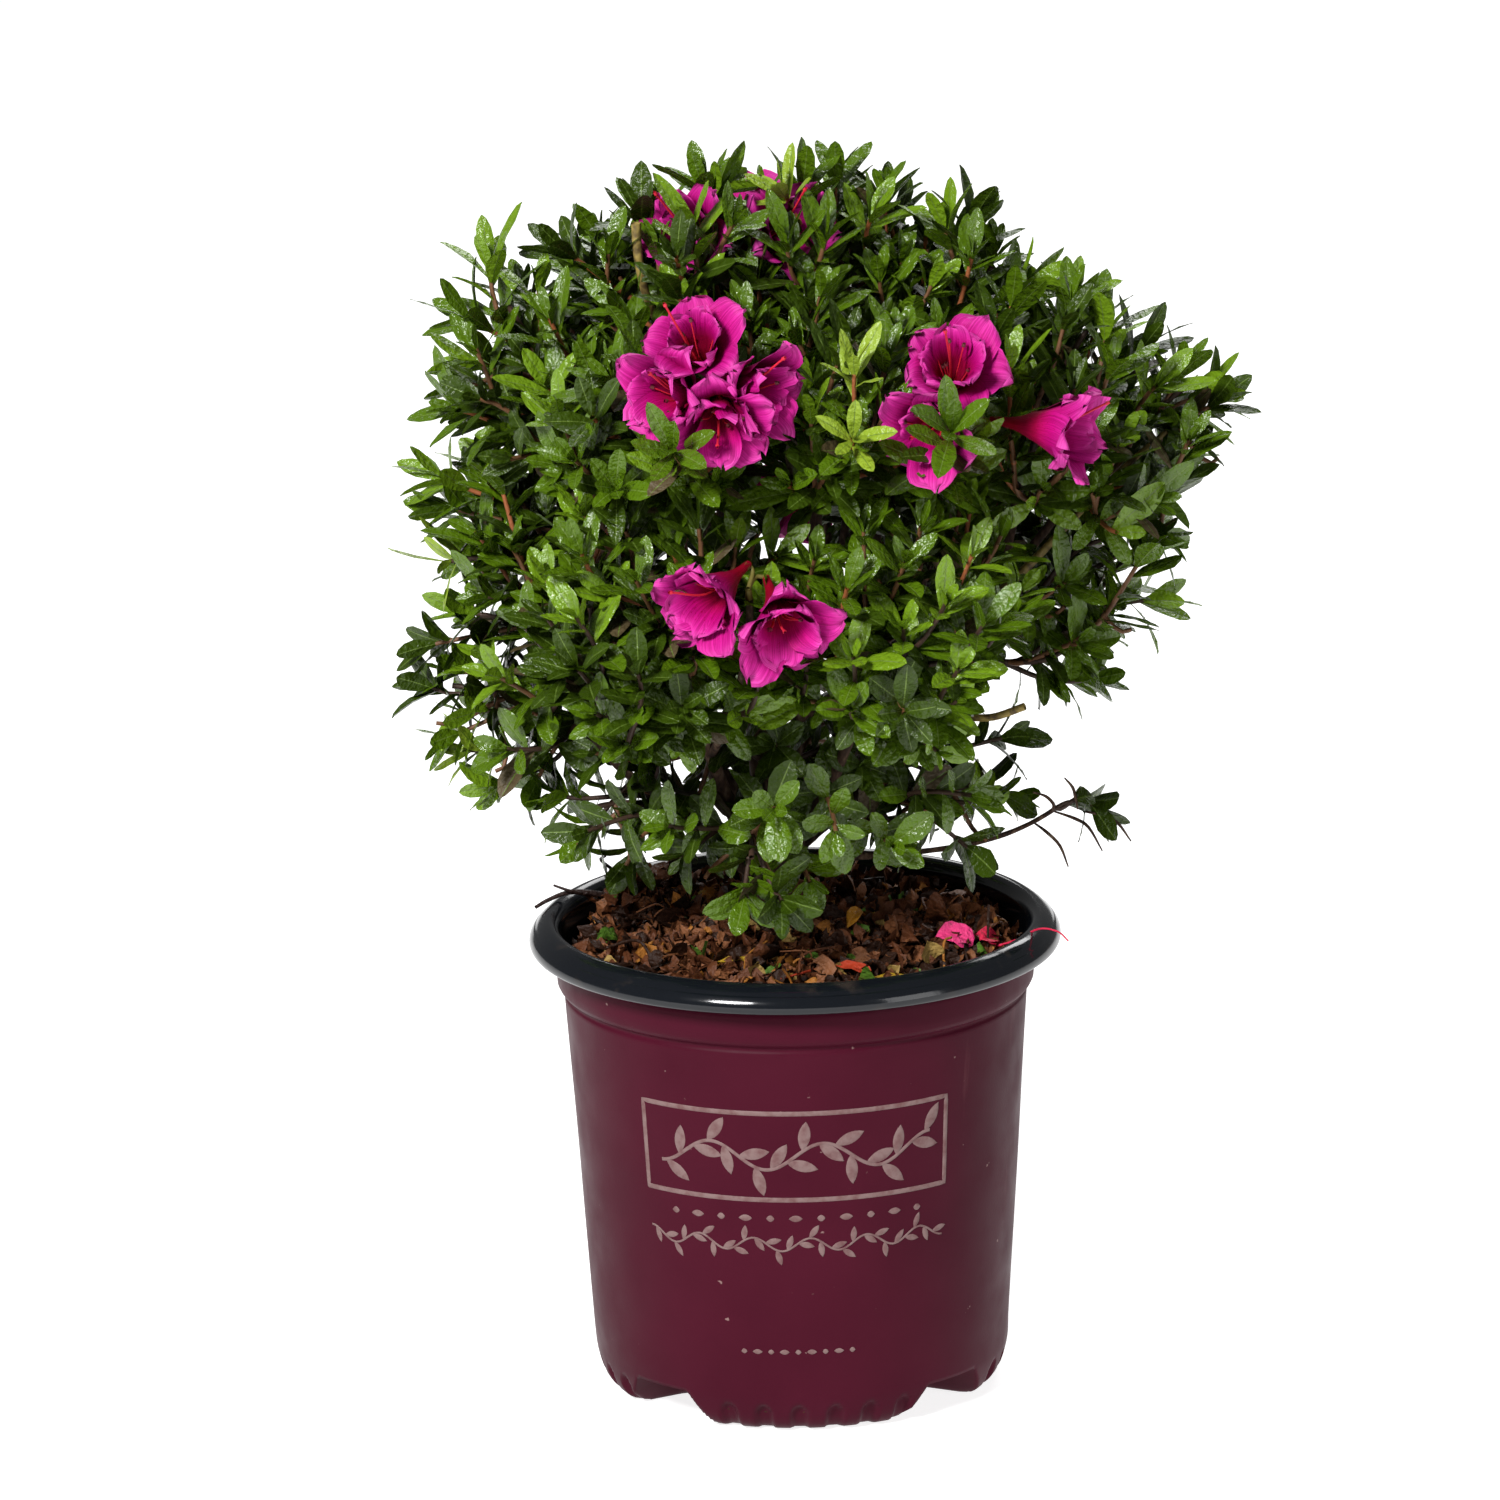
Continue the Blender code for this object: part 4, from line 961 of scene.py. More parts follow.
def make_litter():
    """Curled dead leaves and flakes of bark over the mix, each in a plain colour."""
    rng = np.random.default_rng(7)
    mats = [litter_material(name, colour) for name, colour in LITTER_COLOURS.items()]
    patches = Patchwork()
    places = scatter_on_mix(rng, CHIPS)
    kinds = rng.choice(len(mats), CHIPS, p=LITTER_SHARES)
    flat = random_units(rng, CHIPS) * (1, 1, 0.45)
    face = unit(random_units(rng, CHIPS) * 0.9 + (0, -0.1, 0.7))
    length = rng.uniform(5, 11.5, CHIPS)
    grids = leaf_grids(places, flat, face, length, rng.uniform(0.35, 0.85, CHIPS),
                       rng.uniform(-2.6, 2.8, CHIPS), rng.uniform(-0.4, 1.8, CHIPS),
                       rng.uniform(-1.0, 1.1, CHIPS), rng.uniform(0.2, 0.9, CHIPS),
                       np.linspace(0, 1, 7))
    grids += rng.normal(scale=0.16, size=grids.shape)
    keep = within_pot(grids)
    patches.add(grids[keep], kinds[keep][:, None, None])
    for _ in range(STALKS):
        x, y, z = scatter_on_mix(rng, 1)[0]
        way = unit(rng.normal(size=3) * (1, 1, 0.3)) * rng.uniform(8, 24)
        middle = np.array((x, y, z + 2)) + way / 2 + rng.normal(size=3) * 2.5
        path = smooth_line([(x, y, z), middle, np.array((x, y, z)) + way], 4)
        ring = tube(path, np.full(len(path), rng.uniform(0.3, 0.7)), 5)
        if within_pot(ring[None], 2)[0]:
            patches.add(ring[None], rng.choice((0, 1, 2, 3)), closed=True)
    piece(patches.build("litter", mats), "potting_mix")
    make_strays()


def make_strays():
    """What stands out on the litter: fallen petals, a red blade, and a twig over the rim."""
    mats = [litter_material(name, colour) for name, colour in STRAY_COLOURS.items()]
    patches = Patchwork()
    for kind, (x, y), *look in STRAY_LEAVES:
        root = (x, y, soil_height(x, y) + STRAY_LIFT)
        way, length, wide, bend = ([value] for value in look)
        patches.add(leaf_grids([root], way, [STRAY_FACE], length, wide, bend, *STRAY_FORM), kind)
    for kind, width, points in STRAY_STALKS:
        path = smooth_line(points, 6)
        patches.rod(path, np.linspace(width, width * 0.6, len(path)), kind)
    piece(patches.build("strays", mats), "potting_mix")


# ---------------------------------------------------------------- spaces and limbs


def spaces():
    """The ball that each mass and each truss keeps to, cut from its neighbours' by planes."""
    found = {name: (Vector(row[0]), float(row[1])) for name, row in MASSES.items()}
    for name, (_, _, *flowers) in TRUSSES.items():
        centres = [Vector(place) for place, _ in flowers]
        middle = sum(centres, Vector()) / len(centres)
        spread = max((c - middle).length for c in centres)
        behind = Vector((0, -math.copysign(BLOOM_BEHIND, middle.y), 0))
        found[name] = (middle + behind, BLOOM_SPACE + spread * BLOOM_SPREAD)
    return found


def inside(space, name, point, clear=GAP):
    """Whether a point lies in its own ball and on its own side of every plane."""
    centre, radius = space[name]
    own = (point - centre).length_squared - radius * radius
    if own > 0:
        return False
    for other, (c, r) in space.items():
        if other == name:
            continue
        apart = (c - centre).length
        if apart > radius + r:
            continue
        power = (point - c).length_squared - r * r
        if (power - own) / (2 * apart) < clear:
            return False
    return True


def above_pot(point):
    r = math.hypot(point.x, point.y)
    if r < LIP_R - BRIM_REACH:
        return point.z > soil_height(point.x, point.y) + MIX_CLEAR
    return point.z > POT_TOP + LIP_CLEAR


def reach(space, name, origin, direction):
    """How far a straight line from a point stays inside its space."""
    out = 0.0
    while out < REACH_MOST:
        beyond = origin + direction * (out + REACH_STEP)
        if not (inside(space, name, beyond) and above_pot(beyond)):
            break
        out += REACH_STEP
    return out


class Limb:
    """One tapering limb along a smooth path."""

    def __init__(self, name, ends, radii, parent=None):
        self.name, self.parent, self.ends, self.radii = name, parent, ends, radii
        t = np.linspace(0, 1, LIMB_SAMPLES)
        self.samples = np.array([self.at(u)[:] for u in t])
        self.thick = np.array([self.radius(u) for u in t])

    def at(self, t):
        return cubic(self.ends, t)

    def along(self, t):
        a, b, c, d = self.ends
        s = 1 - t
        return ((b - a) * 3 * s * s + (c - b) * 6 * s * t + (d - c) * 3 * t * t).normalized()

    def radius(self, t):
        place = t * (len(self.radii) - 1)
        k = min(int(place), len(self.radii) - 2)
        return self.radii[k] + (self.radii[k + 1] - self.radii[k]) * (place - k)

    def outside(self, points, margin):
        """Which points lie clear of this limb's surface, or past its end."""
        far = np.linalg.norm(points[:, None] - self.samples[None], axis=2) - self.thick[None]
        past = (points - np.array(self.ends[3])) @ np.array(self.along(1))
        return (far.min(axis=1) > margin) | (past > 0)

    def clear_of(self, others):
        """Whether this limb keeps its distance from every limb but its parent's skin."""
        free = self.parent.outside(self.samples, -LIMB_SUNK * self.thick[0])
        left = np.argmax(free)
        if not free.any() or not free[left:].all():
            return False
        rest = self.samples[left + LIMB_SAMPLES // 4:]
        room = self.thick[left + LIMB_SAMPLES // 4:].max() + LIMB_CLEAR
        if not self.parent.outside(rest, room).all():
            return False
        for other in others:
            if other is self.parent:
                continue
            far = np.linalg.norm(self.samples[free][:, None] - other.samples[None], axis=2)
            far -= self.thick[free][:, None] + other.thick[None]
            if self.parent is other.parent:
                far = far[:, other.free]
            if far.min() < LIMB_CLEAR:
                return False
        self.free = free
        return True


def grow_limb(name, parent, where, goal, base, limbs):
    """A limb that leaves its parent's side and bends up to its goal, clear of the others."""
    rng = random.Random(name)
    for attempt in range(LIMB_TRIES):
        loose = attempt / LIMB_TRIES
        t = min(FORK_TO, max(FORK_FROM, where + rng.uniform(-FORK_ROAM, FORK_ROAM) * loose))
        start = parent.at(t)
        heading = (goal - start).normalized()
        flat = Vector((heading.x, heading.y, 0))
        start = start + flat.normalized() * max(0.0, parent.radius(t) - base) * LIMB_SEAT
        run = (goal - start).length
        leave = (heading + flat * LIMB_SPLAY + parent.along(t) * LIMB_FOLLOW).normalized()
        sway = jitter(rng) * run
        sway *= LIMB_SWAY + (LIMB_SWAY_MOST - LIMB_SWAY) * loose
        bend = start + leave * run * BEND_AT + sway / 2
        arrive = goal - (heading + UP * LIMB_RISE).normalized() * run * BEND_AT + sway
        radii = (base, base * LIMB_WAIST, TIP_RADIUS)
        limb = Limb(name, (start, bend, arrive, goal), radii, parent)
        if limb.clear_of(limbs):
            return limb
    raise RuntimeError("no clear way for " + name)


def grow_limbs(space):
    ends = (TRUNK_FOOT, TRUNK_FOOT + UP * TRUNK_RISE, TRUNK_FORK - TRUNK_LEAN, TRUNK_FORK)
    trunk = Limb("trunk", ends, TRUNK_RADII)
    trunk.free = np.ones(LIMB_SAMPLES, bool)
    limbs = {"trunk": trunk}
    rows = [(name, row[2], row[3]) for name, row in MASSES.items()]
    rows += [(name, row[0], row[1]) for name, row in TRUSSES.items()]
    for name, parent, where in rows:
        stock = limbs[parent]
        centre = space[name][0]
        back = (stock.at(where) - centre).normalized()
        goal = centre + back * max(4.0, reach(space, name, centre, back) - 1.0)
        base = LIMB_BASE.get(parent, LIMB_BASE_OTHER)
        if name in TRUSSES:
            base = BLOOM_LIMB_BASE
        if parent == "trunk" and name.startswith(("lower", "low_")):
            base *= LOW_LIMB
        limbs[name] = grow_limb(name, stock, where, goal, base, list(limbs.values()))
    return limbs


def bark_tube(limb, steps, sides):
    """A limb's surface with the relief of its bark: ribs, flakes and knots."""
    params = np.linspace(0, 1, steps)
    points = [limb.at(t)[:] for t in params]
    slim = SLIM.get(limb.name, 1)
    radii = [limb.radius(t) * (1 + (slim - 1) * min(1, 2 * t)) for t in params]
    rings = tube(points, radii, sides)
    for ring, centre in zip(rings, np.array(points)):
        for j in range(sides):
            p = Vector(ring[j])
            relief = 1.0
            for depth, rate, drawn_out in BARK_RELIEF:
                relief += depth * noise.noise(Vector((p.x, p.y, p.z * drawn_out)) * rate)
            ring[j] = centre + (ring[j] - centre) * relief
    return rings


def make_bark(limbs):
    bark = bark_material()
    stem = Patchwork()
    stem.add(bark_tube(limbs["trunk"], 60, 56)[None], 0, closed=True)
    piece(stem.build("trunk_bark", [bark]), "bark", "trunk")
    boughs = Patchwork()
    for name, limb in limbs.items():
        if name == "trunk":
            continue
        run = (limb.ends[3] - limb.ends[0]).length
        boughs.add(bark_tube(limb, max(12, int(run / 3)), 12)[None], 0, closed=True)
    stray = limbs["stray_right"].samples
    for points in THIN_LEAVES:
        far = np.linalg.norm(stray - np.array(points[0]), axis=1)
        root = stray[far.argmin()] if far.min() < THIN_ROOM else points[0]
        path = smooth_line([root, *points[1:]], 4)
        radii = np.interp(np.linspace(0, 3, len(path)), range(4), THIN_RADII)
        boughs.rod(path, radii, 0)
    nodes = ["bough_" + name for name in limbs if name != "trunk"]
    piece(boughs.build("boughs_bark", [bark]), "bark", *nodes)
    shoots = Patchwork()
    for points, thick, thin in BARE_SHOOTS:
        path = smooth_line(points, 5)
        shoots.rod(path, np.linspace(thick, thin, len(path)), 0, 9)
    piece(shoots.build("bare_shoots", [shoot_material()]), "bark")


# ---------------------------------------------------------------- foliage


def fibonacci(k, count):
    z = 1 - (2 * k + 1) / count
    r = math.sqrt(1 - z * z)
    return Vector((r * math.cos(GOLDEN * k), r * math.sin(GOLDEN * k), z))


class Crown:
    """The whole crown's reach and the rosettes placed in it so far."""

    def __init__(self, space):
        self.names = list(space)
        shown = [rows[2:] for name, rows in TRUSSES.items() if name not in HIDDEN_TRUSSES]
        places = np.array([place for rows in shown for place, _ in rows], float)
        ways = unit(np.array([way for rows in shown for _, way in rows], float))
        self.flowers = np.concatenate((places, places + ways * PETAL_AHEAD))
        self.balls = list(space.values())
        self.centres = np.array([row[0][:] for row in space.values()])
        self.radii = np.array([row[1] for row in space.values()])
        self.tips = np.zeros((0, 3))

    def owner(self, point):
        """The mass whose own space a point is in, leaving the flowers' spaces aside."""
        power = [(point - c).length_squared - r * r for c, r in self.balls]
        return self.names[power.index(min(power))]

    def holds(self, point, inset):
        """Whether a point lies that far inside one of the masses' balls."""
        return any((point - c).length < r - inset for c, r in self.balls)

    def depth(self, point, out):
        """How far below the crown's surface a point lies, going outward."""
        steps = np.arange(0, 90, 3.0)
        line = np.array(point)[None] + np.array(out)[None] * steps[:, None]
        far = np.linalg.norm(line[:, None] - self.centres[None], axis=2)
        within = (far < self.radii[None]).any(axis=1)
        return steps[within].max() if within.any() else 0.0

    def at_flower(self, point, room):
        return np.linalg.norm(self.flowers - np.array(point), axis=1).min() < room

    def crowded(self, point, spacing):
        if not len(self.tips):
            return False
        return np.linalg.norm(self.tips - np.array(point), axis=1).min() < spacing

    def place(self, point):
        self.tips = np.concatenate((self.tips, np.array(point)[None]))


def in_bay(point, share):
    """Whether a point lies in one of the see-through gaps, or the inner share of one."""
    bays = BAYS + BOUGH_BAYS if point.y < BOUGH_BAY_Y else BAYS
    height = point.z + point.y * BAY_SLOPE
    return any(math.hypot(point.x - x, height - z) < radius * share for x, z, radius in bays)


def heading_at(point):
    """The way a shoot grows at a point: out from the heart, and up the more the higher it is."""
    out = (point - HEART).normalized()
    low, high = SHOOT_RISE
    rise = low + (high - low) * share_of(point.z, *SHOOT_RISE_Z)
    return (out + UP * rise).normalized()


class Mass:
    """One mass of the crown: its wood, and the shoots and leaves on it."""

    def __init__(self, name, space, limb, crown):
        self.name, self.space, self.crown = name, space, crown
        self.centre, self.size = space[name]
        self.rng = random.Random("shoots of " + name)
        self.wood = Patchwork()
        self.spots, self.ways, self.leaves = [], [], []
        self.past, self.before = LEAF_REACH, False
        self.grow_stem(limb)
        self.grow_leaders()
        self.grow_shoots()

    def lay(self, path, radii, kind, from_share=0.0):
        """Adds a twig's tube and lets later twigs leave it."""
        self.wood.rod(path, radii, kind)
        ways = unit(np.gradient(path, axis=0))
        first = int(len(path) * from_share)
        self.spots += list(path[first:-1])
        self.ways += list(ways[first:-1])

    def grow_stem(self, limb):
        """The stem that goes on from the bough's tip, and its main twigs."""
        aim = ((self.centre - HEART).normalized() + UP * AIM_RISE).normalized()
        start = limb.at(1)
        room = reach(self.space, self.name, self.centre, aim)
        slim = SLIM.get(self.name, 1)
        end = self.centre + aim * (max(STEM_LEAST, room * STEM_SHARE) if slim == 1 else SLIM_STEM)
        run = (end - start).length
        ends = (start, start + limb.along(1) * run * BEND_AT, end - aim * run * BEND_AT, end)
        stem = bezier(ends, 12)
        self.lay(stem, np.linspace(TIP_RADIUS, TWIG_RADII[0], len(stem)) * slim, OLD_WOOD)
        for k in range(TWIGS if slim == 1 else 0):
            root = Vector(stem[int((TWIG_FROM + TWIG_RUN * k / TWIGS) * (len(stem) - 1))])
            stray = jitter(self.rng) * TWIG_STRAY
            way = (fibonacci(k, TWIGS) + aim * TWIG_OUTWARD + stray).normalized()
            length = min(TWIG_MOST, reach(self.space, self.name, root, way) * 0.6)
            if length > TWIG_LEAST:
                tip = root + way * length
                turn = heading_at(tip)
                twig = bezier((root, root + way * length * 0.4, tip - turn * length * 0.3, tip), 7)
                self.lay(twig, np.linspace(*TWIG_RADII, len(twig)), BROWN_WOOD)

    def mine(self, point):
        return inside(self.space, self.name, point, 0.0)

    def taken(self, point):
        return in_bay(point, 1.0) or self.crown.at_flower(point, FLOWER_ROOM)

    def grow_leaders(self):
        """The named leaders in this mass, then more at the front and back."""
        self.past = LEADER_REACH
        for row in LEADERS:
            point, way = Vector(row[:3]), Vector(row[3:6]).normalized()
            look = row[6] if len(row) > 6 else None
            self.before = look == BEFORE
            for _ in range(LEADER_PULLS):
                if self.before or self.crown.holds(point, LEADER_HOLD):
                    break
                point += (HEART - point).normalized() * LEADER_PULL
            if self.crown.owner(point) == self.name:
                self.crown.place(point)
                self.grow_shoot(point, way, 0.0, None if self.before else look)
        self.past, self.before = LEAF_REACH, False
        for _ in range(SHOOT_TRIES // 4):
            point, out, depth = self.anywhere()
            if abs(out.y) < LEADER_SIDE or not LEADER_INSET < depth < LEADER_INSET * 2:
                continue
            if self.taken(point) or not self.mine(point):
                continue
            if not self.crown.crowded(point, LEADER_SPACING):
                self.crown.place(point)
                self.grow_shoot(point, heading_at(point), 0.0)

    def anywhere(self):
        """A random point of this mass's ball, with its way out and its depth in the crown."""
        way = Vector([self.rng.gauss(0, 1) for _ in range(3)]).normalized()
        point = self.centre + way * self.size * self.rng.random() ** (1 / 3)
        if point.z < SOIL_TOP or (point - HEART).length < 1:
            return point, UP, 0.0
        out = (point - HEART).normalized()
        return point, out, self.crown.depth(point, out)

    def grow_shoots(self):
        """Fills the mass with shoots, each from the nearest wood."""
        places = []
        inset = SHOOT_INSET + RECEDE.get(self.name, 0)
        for _ in range(SHOOT_TRIES):
            point, out, depth = self.anywhere()
            deepest = LOW_DEPTH if point.z < LOW_CROWN_Z else SHOOT_DEPTH
            least = SHOOT_INSET + (inset - SHOOT_INSET) * (1 - abs(out.y))
            least -= FRONT_INSET * out.y**2
            if not least < depth < deepest or not self.mine(point) or self.taken(point):
                continue
            if above_pot(point - UP * 4):
                places.append((point, depth - least))
        places.sort(key=lambda row: row[1])
        chosen = []
        for point, depth in places:
            deep = depth / (SHOOT_DEPTH - inset)
            spacing = SHOOT_SPACING + (SHOOT_SPACING_DEEP - SHOOT_SPACING) * deep
            spacing *= LOW_SPACING if point.z < LOW_CROWN_Z else 1
            if not self.crown.crowded(point, spacing):
                self.crown.place(point)
                chosen.append((point, depth))
        start = Vector(self.spots[0])
        chosen.sort(key=lambda row: (row[0] - start).length)
        for point, depth in chosen:
            self.grow_shoot(point, heading_at(point), depth)

    def grow_shoot(self, tip, heading, depth, kind=None):
        """A curved twig from the nearest wood to a shoot's tip, with its leaves."""
        rng = self.rng
        stray = Vector([rng.uniform(-SHOOT_STRAY, SHOOT_STRAY) for _ in range(3)])
        heading = (heading + stray * (0.3 if depth == 0 else 1)).normalized()
        leafy = rng.uniform(*(LEAFY if depth < DEEP_TIP else LEAFY_DEEP))
        leafy *= YOUNG_LEAFY if kind == YOUNG else 1
        foot = tip - heading * leafy * 0.8
        spots, ways = np.array(self.spots), np.array(self.ways)
        gap = np.array(foot) - spots
        far = np.linalg.norm(gap, axis=1)
        turn = 1 - (gap * ways).sum(axis=1) / np.maximum(far, 1)
        back = (gap * np.array(heading)).sum(axis=1) / np.maximum(far, 1)
        cost = far + TURN_COST * turn + np.where(far < SHOOT_NEAREST, NEAR_COST, 0)
        cost += BACK_COST * np.clip(0.3 - back, 0, 2)
        k = int(np.argmin(cost))
        if back[k] < SHOOT_BACK:
            heading = (heading + Vector(gap[k]).normalized() * 1.3).normalized()
            foot = tip - heading * leafy * 0.5
        root, run = Vector(spots[k]), (tip - Vector(spots[k])).length
        leave = (Vector(ways[k]) + Vector(gap[k]).normalized()).normalized()
        ends = (root, root + leave * run * 0.3, foot, tip)
        steps = max(8, int(run / 4))
        path = bezier(ends, steps)
        thick = SHOOT_THICK + min(0.5, run / 120)
        if kind == YOUNG:
            colour = RED_WOOD
        elif tip.z > DARK_WOOD_Z:
            colour = rng.choice((BROWN_WOOD, BROWN_WOOD, RED_WOOD))
        else:
            colour = rng.choice((OLD_WOOD, OLD_WOOD, BROWN_WOOD))
        self.lay(path, np.linspace(thick, SHOOT_END, steps), colour, 0.2)
        spray = kind if kind is not None else self.spray_colour(tip, depth)
        self.dress(path, run, min(leafy, run * 0.8), spray, depth == 0)

    def spray_colour(self, tip, depth):
        """The colour of one spray's leaves, dealt at random with painted light: the painted lit
        green more often near the crown's surface and lower down, the painted-shade green deep
        within.
        """
        deal = self.rng.random()
        # how much painted light the spray gets: less the deeper its tip lies and the higher it
        # stands
        lit = 0.45 - 0.3 * (tip.z - HEART.z) / 200 - depth / 45
        if deal < YOUNG_SHARE and depth < 6:
            return YOUNG
        # painted shade: most sprays deep in the crown take the darkest green
        if depth > 20 and deal > 0.25:
            return PAINTED_SHADE_GREEN
        if deal < 0.22 + 0.16 * lit:
            return PAINTED_LIT_GREEN
        return MID if deal < 0.72 + 0.2 * lit else PAINTED_SHADE_GREEN

    def dress(self, path, run, leafy, spray, full):
        """Leaves round a shoot: small and upright at its tip, larger and spreading below."""
        rng = self.rng
        ways = unit(np.gradient(path, axis=0))
        turn = rng.uniform(0, math.tau)
        back = 0.0
        count = 0
        while back < leafy:
            t = (1 - back / run) * (len(path) - 1)
            k = max(0, min(len(path) - 2, int(t)))
            root = Vector(path[k]).lerp(Vector(path[k + 1]), t - k)
            ahead = Vector(ways[min(k + 1, len(path) - 1)])
            side = ahead.orthogonal().normalized()
            across = ahead.cross(side)
            turn += GOLDEN + rng.uniform(-0.3, 0.3)
            share = back / LEAFY[1]
            high = share_of(root.z, *UPRIGHT_Z)
            open_by = OPEN_AT_TIP + OPEN_STEP * min(count, 4) + OPEN_BELOW * share
            open_by = math.radians(open_by + rng.uniform(-OPEN_STRAY, OPEN_STRAY))
            open_by *= 1 - 0.28 * high
            scale = min(1.0, (0.8 if full else 0.5) + 0.12 * count) * rng.uniform(0.88, 1.1)
            colour = spray
            # painted shade: a spray's lower leaves go from the lit green to the plain mid green,
            # and from the mid green at times to the painted-shade green
            if count > 6 and spray != PAINTED_SHADE_GREEN:
                colour = MID if spray in (PAINTED_LIT_GREEN, YOUNG) else rng.choice((MID, PAINTED_SHADE_GREEN))
            if count > 5 and rng.random() < OLD_SHARE:
                colour = OLD
            around = side * math.cos(turn) + across * math.sin(turn)
            way = ahead * math.cos(open_by) + around * math.sin(open_by)
            face = ahead * math.sin(open_by) - around * math.cos(open_by)
            face = (face + UP * 0.3).normalized()
            length = rng.uniform(*LEAF_LENGTH) * scale * (1 + 0.25 * high)
            self.add_leaf(root, way, face, length, colour, open_by, high)
            back += 0.8 if count < 5 else rng.uniform(*LEAF_EVERY)
            count += 1

    def fits(self, root, end):
        """Whether a leaf keeps to its mass, and out of the gaps, the flowers and the pot."""
        if not self.before and (end - self.centre).length >= self.size + self.past:
            if self.crown.depth(end, (end - HEART).normalized()) <= 1:
                return False
        if in_bay(end, LEAF_BAY) or not above_pot(end - UP):
            return False
        at_flower = self.crown.at_flower
        return self.before or not (at_flower(end, PETAL_ROOM)
                                   or at_flower((root + end) / 2, PETAL_ROOM * 0.8))

    def add_leaf(self, root, way, face, length, colour, open_by, high):
        """Adds a leaf, made shorter where it wouldn't fit, or leaves it out."""
        rng = self.rng
        for shorter in SHORTER_LEAVES:
            if self.fits(root, root + way * length * shorter):
                break
        else:
            return
        wide = rng.uniform(*LEAF_WIDTH) * (1 - 0.32 * high) * (0.85 if colour == YOUNG else 1)
        bend = rng.uniform(0.0, 0.35) + 0.55 * open_by * rng.random()
        fold = rng.uniform(0.1, 0.4)
        curl = rng.uniform(0.05, 0.35)
        ripple = rng.uniform(0, 0.35)
        self.leaves.append((root[:], way[:], face[:], length * shorter, wide, bend, fold, curl,
                            ripple, colour))

    def build(self, leaf_mats, twig_mats):
        node_name = "leaves_" + self.name
        rows = list(zip(*self.leaves))
        shape = leaf_grids(*(np.array(column, float) for column in rows[:9]))
        kinds = np.zeros((len(shape), len(LEAF_ROWS) - 1, len(LEAF_COLUMNS) - 1), int)
        kinds += np.array(rows[9])[:, None, None]
        kinds[:, :, RIB_COLUMN] = RIB
        blades = Patchwork()
        blades.add(shape, kinds)
        piece(blades.build(node_name + "_blades", leaf_mats), "leaf_green", node_name)
        piece(self.wood.build(node_name + "_twigs", twig_mats), "bark", node_name)


def make_foliage(space, limbs):
    leaf_mats = [leaf_material(name, *look) for name, look in LEAF_COLOURS.items()]
    twig_mats = [twig_material(name, colour) for name, colour in TWIG_COLOURS.items()]
    masses = {name: space[name] for name in MASSES}
    crown = Crown(masses)
    for name in MASSES:
        Mass(name, masses, limbs[name], crown).build(leaf_mats, twig_mats)


# ---------------------------------------------------------------- flowers


def petal_grid(flower, turn, rng, inner=False):
    """One petal from the foot of the tube to its frilled edge, as rows of points."""
    centre, facing, side, across, large, closed = flower
    u = np.linspace(0, 1, PETAL_ROWS)[:, None]
    v = np.linspace(-1, 1, PETAL_COLUMNS)[None, :]
    profile = smooth_line(PETAL_LINE, (PETAL_ROWS - 1) // (len(PETAL_LINE) - 1))
    r, out = profile[:, :1], profile[:, 1:]
    size = large * (rng.uniform(0.62, 0.95) if inner else rng.uniform(0.9, 1.12))
    lobe = np.clip((u - 0.42) / 0.58, 0, 1)
    swell = np.clip((u - 0.35) / 0.3, 0, 1)
    swell = swell * swell * (3 - 2 * swell)
    closing = np.clip((u - 0.62) / 0.385, 0, 1)
    half = r * 0.72 * (1 - swell) + PETAL_HALF * swell
    half = half * np.sqrt(1 - closing**2.6)
    tip = np.clip((u - 0.6) / 0.4, 0, 1) ** 2
    r = np.where(lobe > 0, THROAT_R + (r - THROAT_R) * size * (0.7 if inner else 1), r)
    phase = rng.uniform(0, math.tau, 4)
    r = r - (1.0 * v**2 - 0.9 * np.sin(6.5 * v + phase[3])) * tip
    edge = np.abs(v) ** 1.8
    frill = PETAL_FRILL * edge * lobe * np.sin(17 * u + np.sign(v) * phase[0] + phase[1])
    frill = frill + PETAL_FRILL * tip * np.sin(7.5 * v + phase[2])
    cup = rng.uniform(-1.5, 4.0) * v**2 * lobe
    groove = -0.8 * np.exp(-((v / 0.16) ** 2)) * np.sin(math.pi * np.clip(lobe, 0, 1))
    tilt = rng.uniform(0.15, 1.1) if inner else closed + rng.uniform(-0.4, 0.45)
    past = np.maximum(r - THROAT_R, 0)
    lean = math.atan(tilt)
    out = out + frill + cup + groove + past * math.sin(lean) * 1.15 + (2.0 if inner else 0)
    r = np.where(lobe > 0, THROAT_R + (r - THROAT_R) * math.cos(lean * 0.9), r)
    a = turn + half * size / np.maximum(r, 1.2) * v
    place = np.cos(a)[..., None] * side + np.sin(a)[..., None] * across
    return centre + r[..., None] * place + out[..., None] * facing


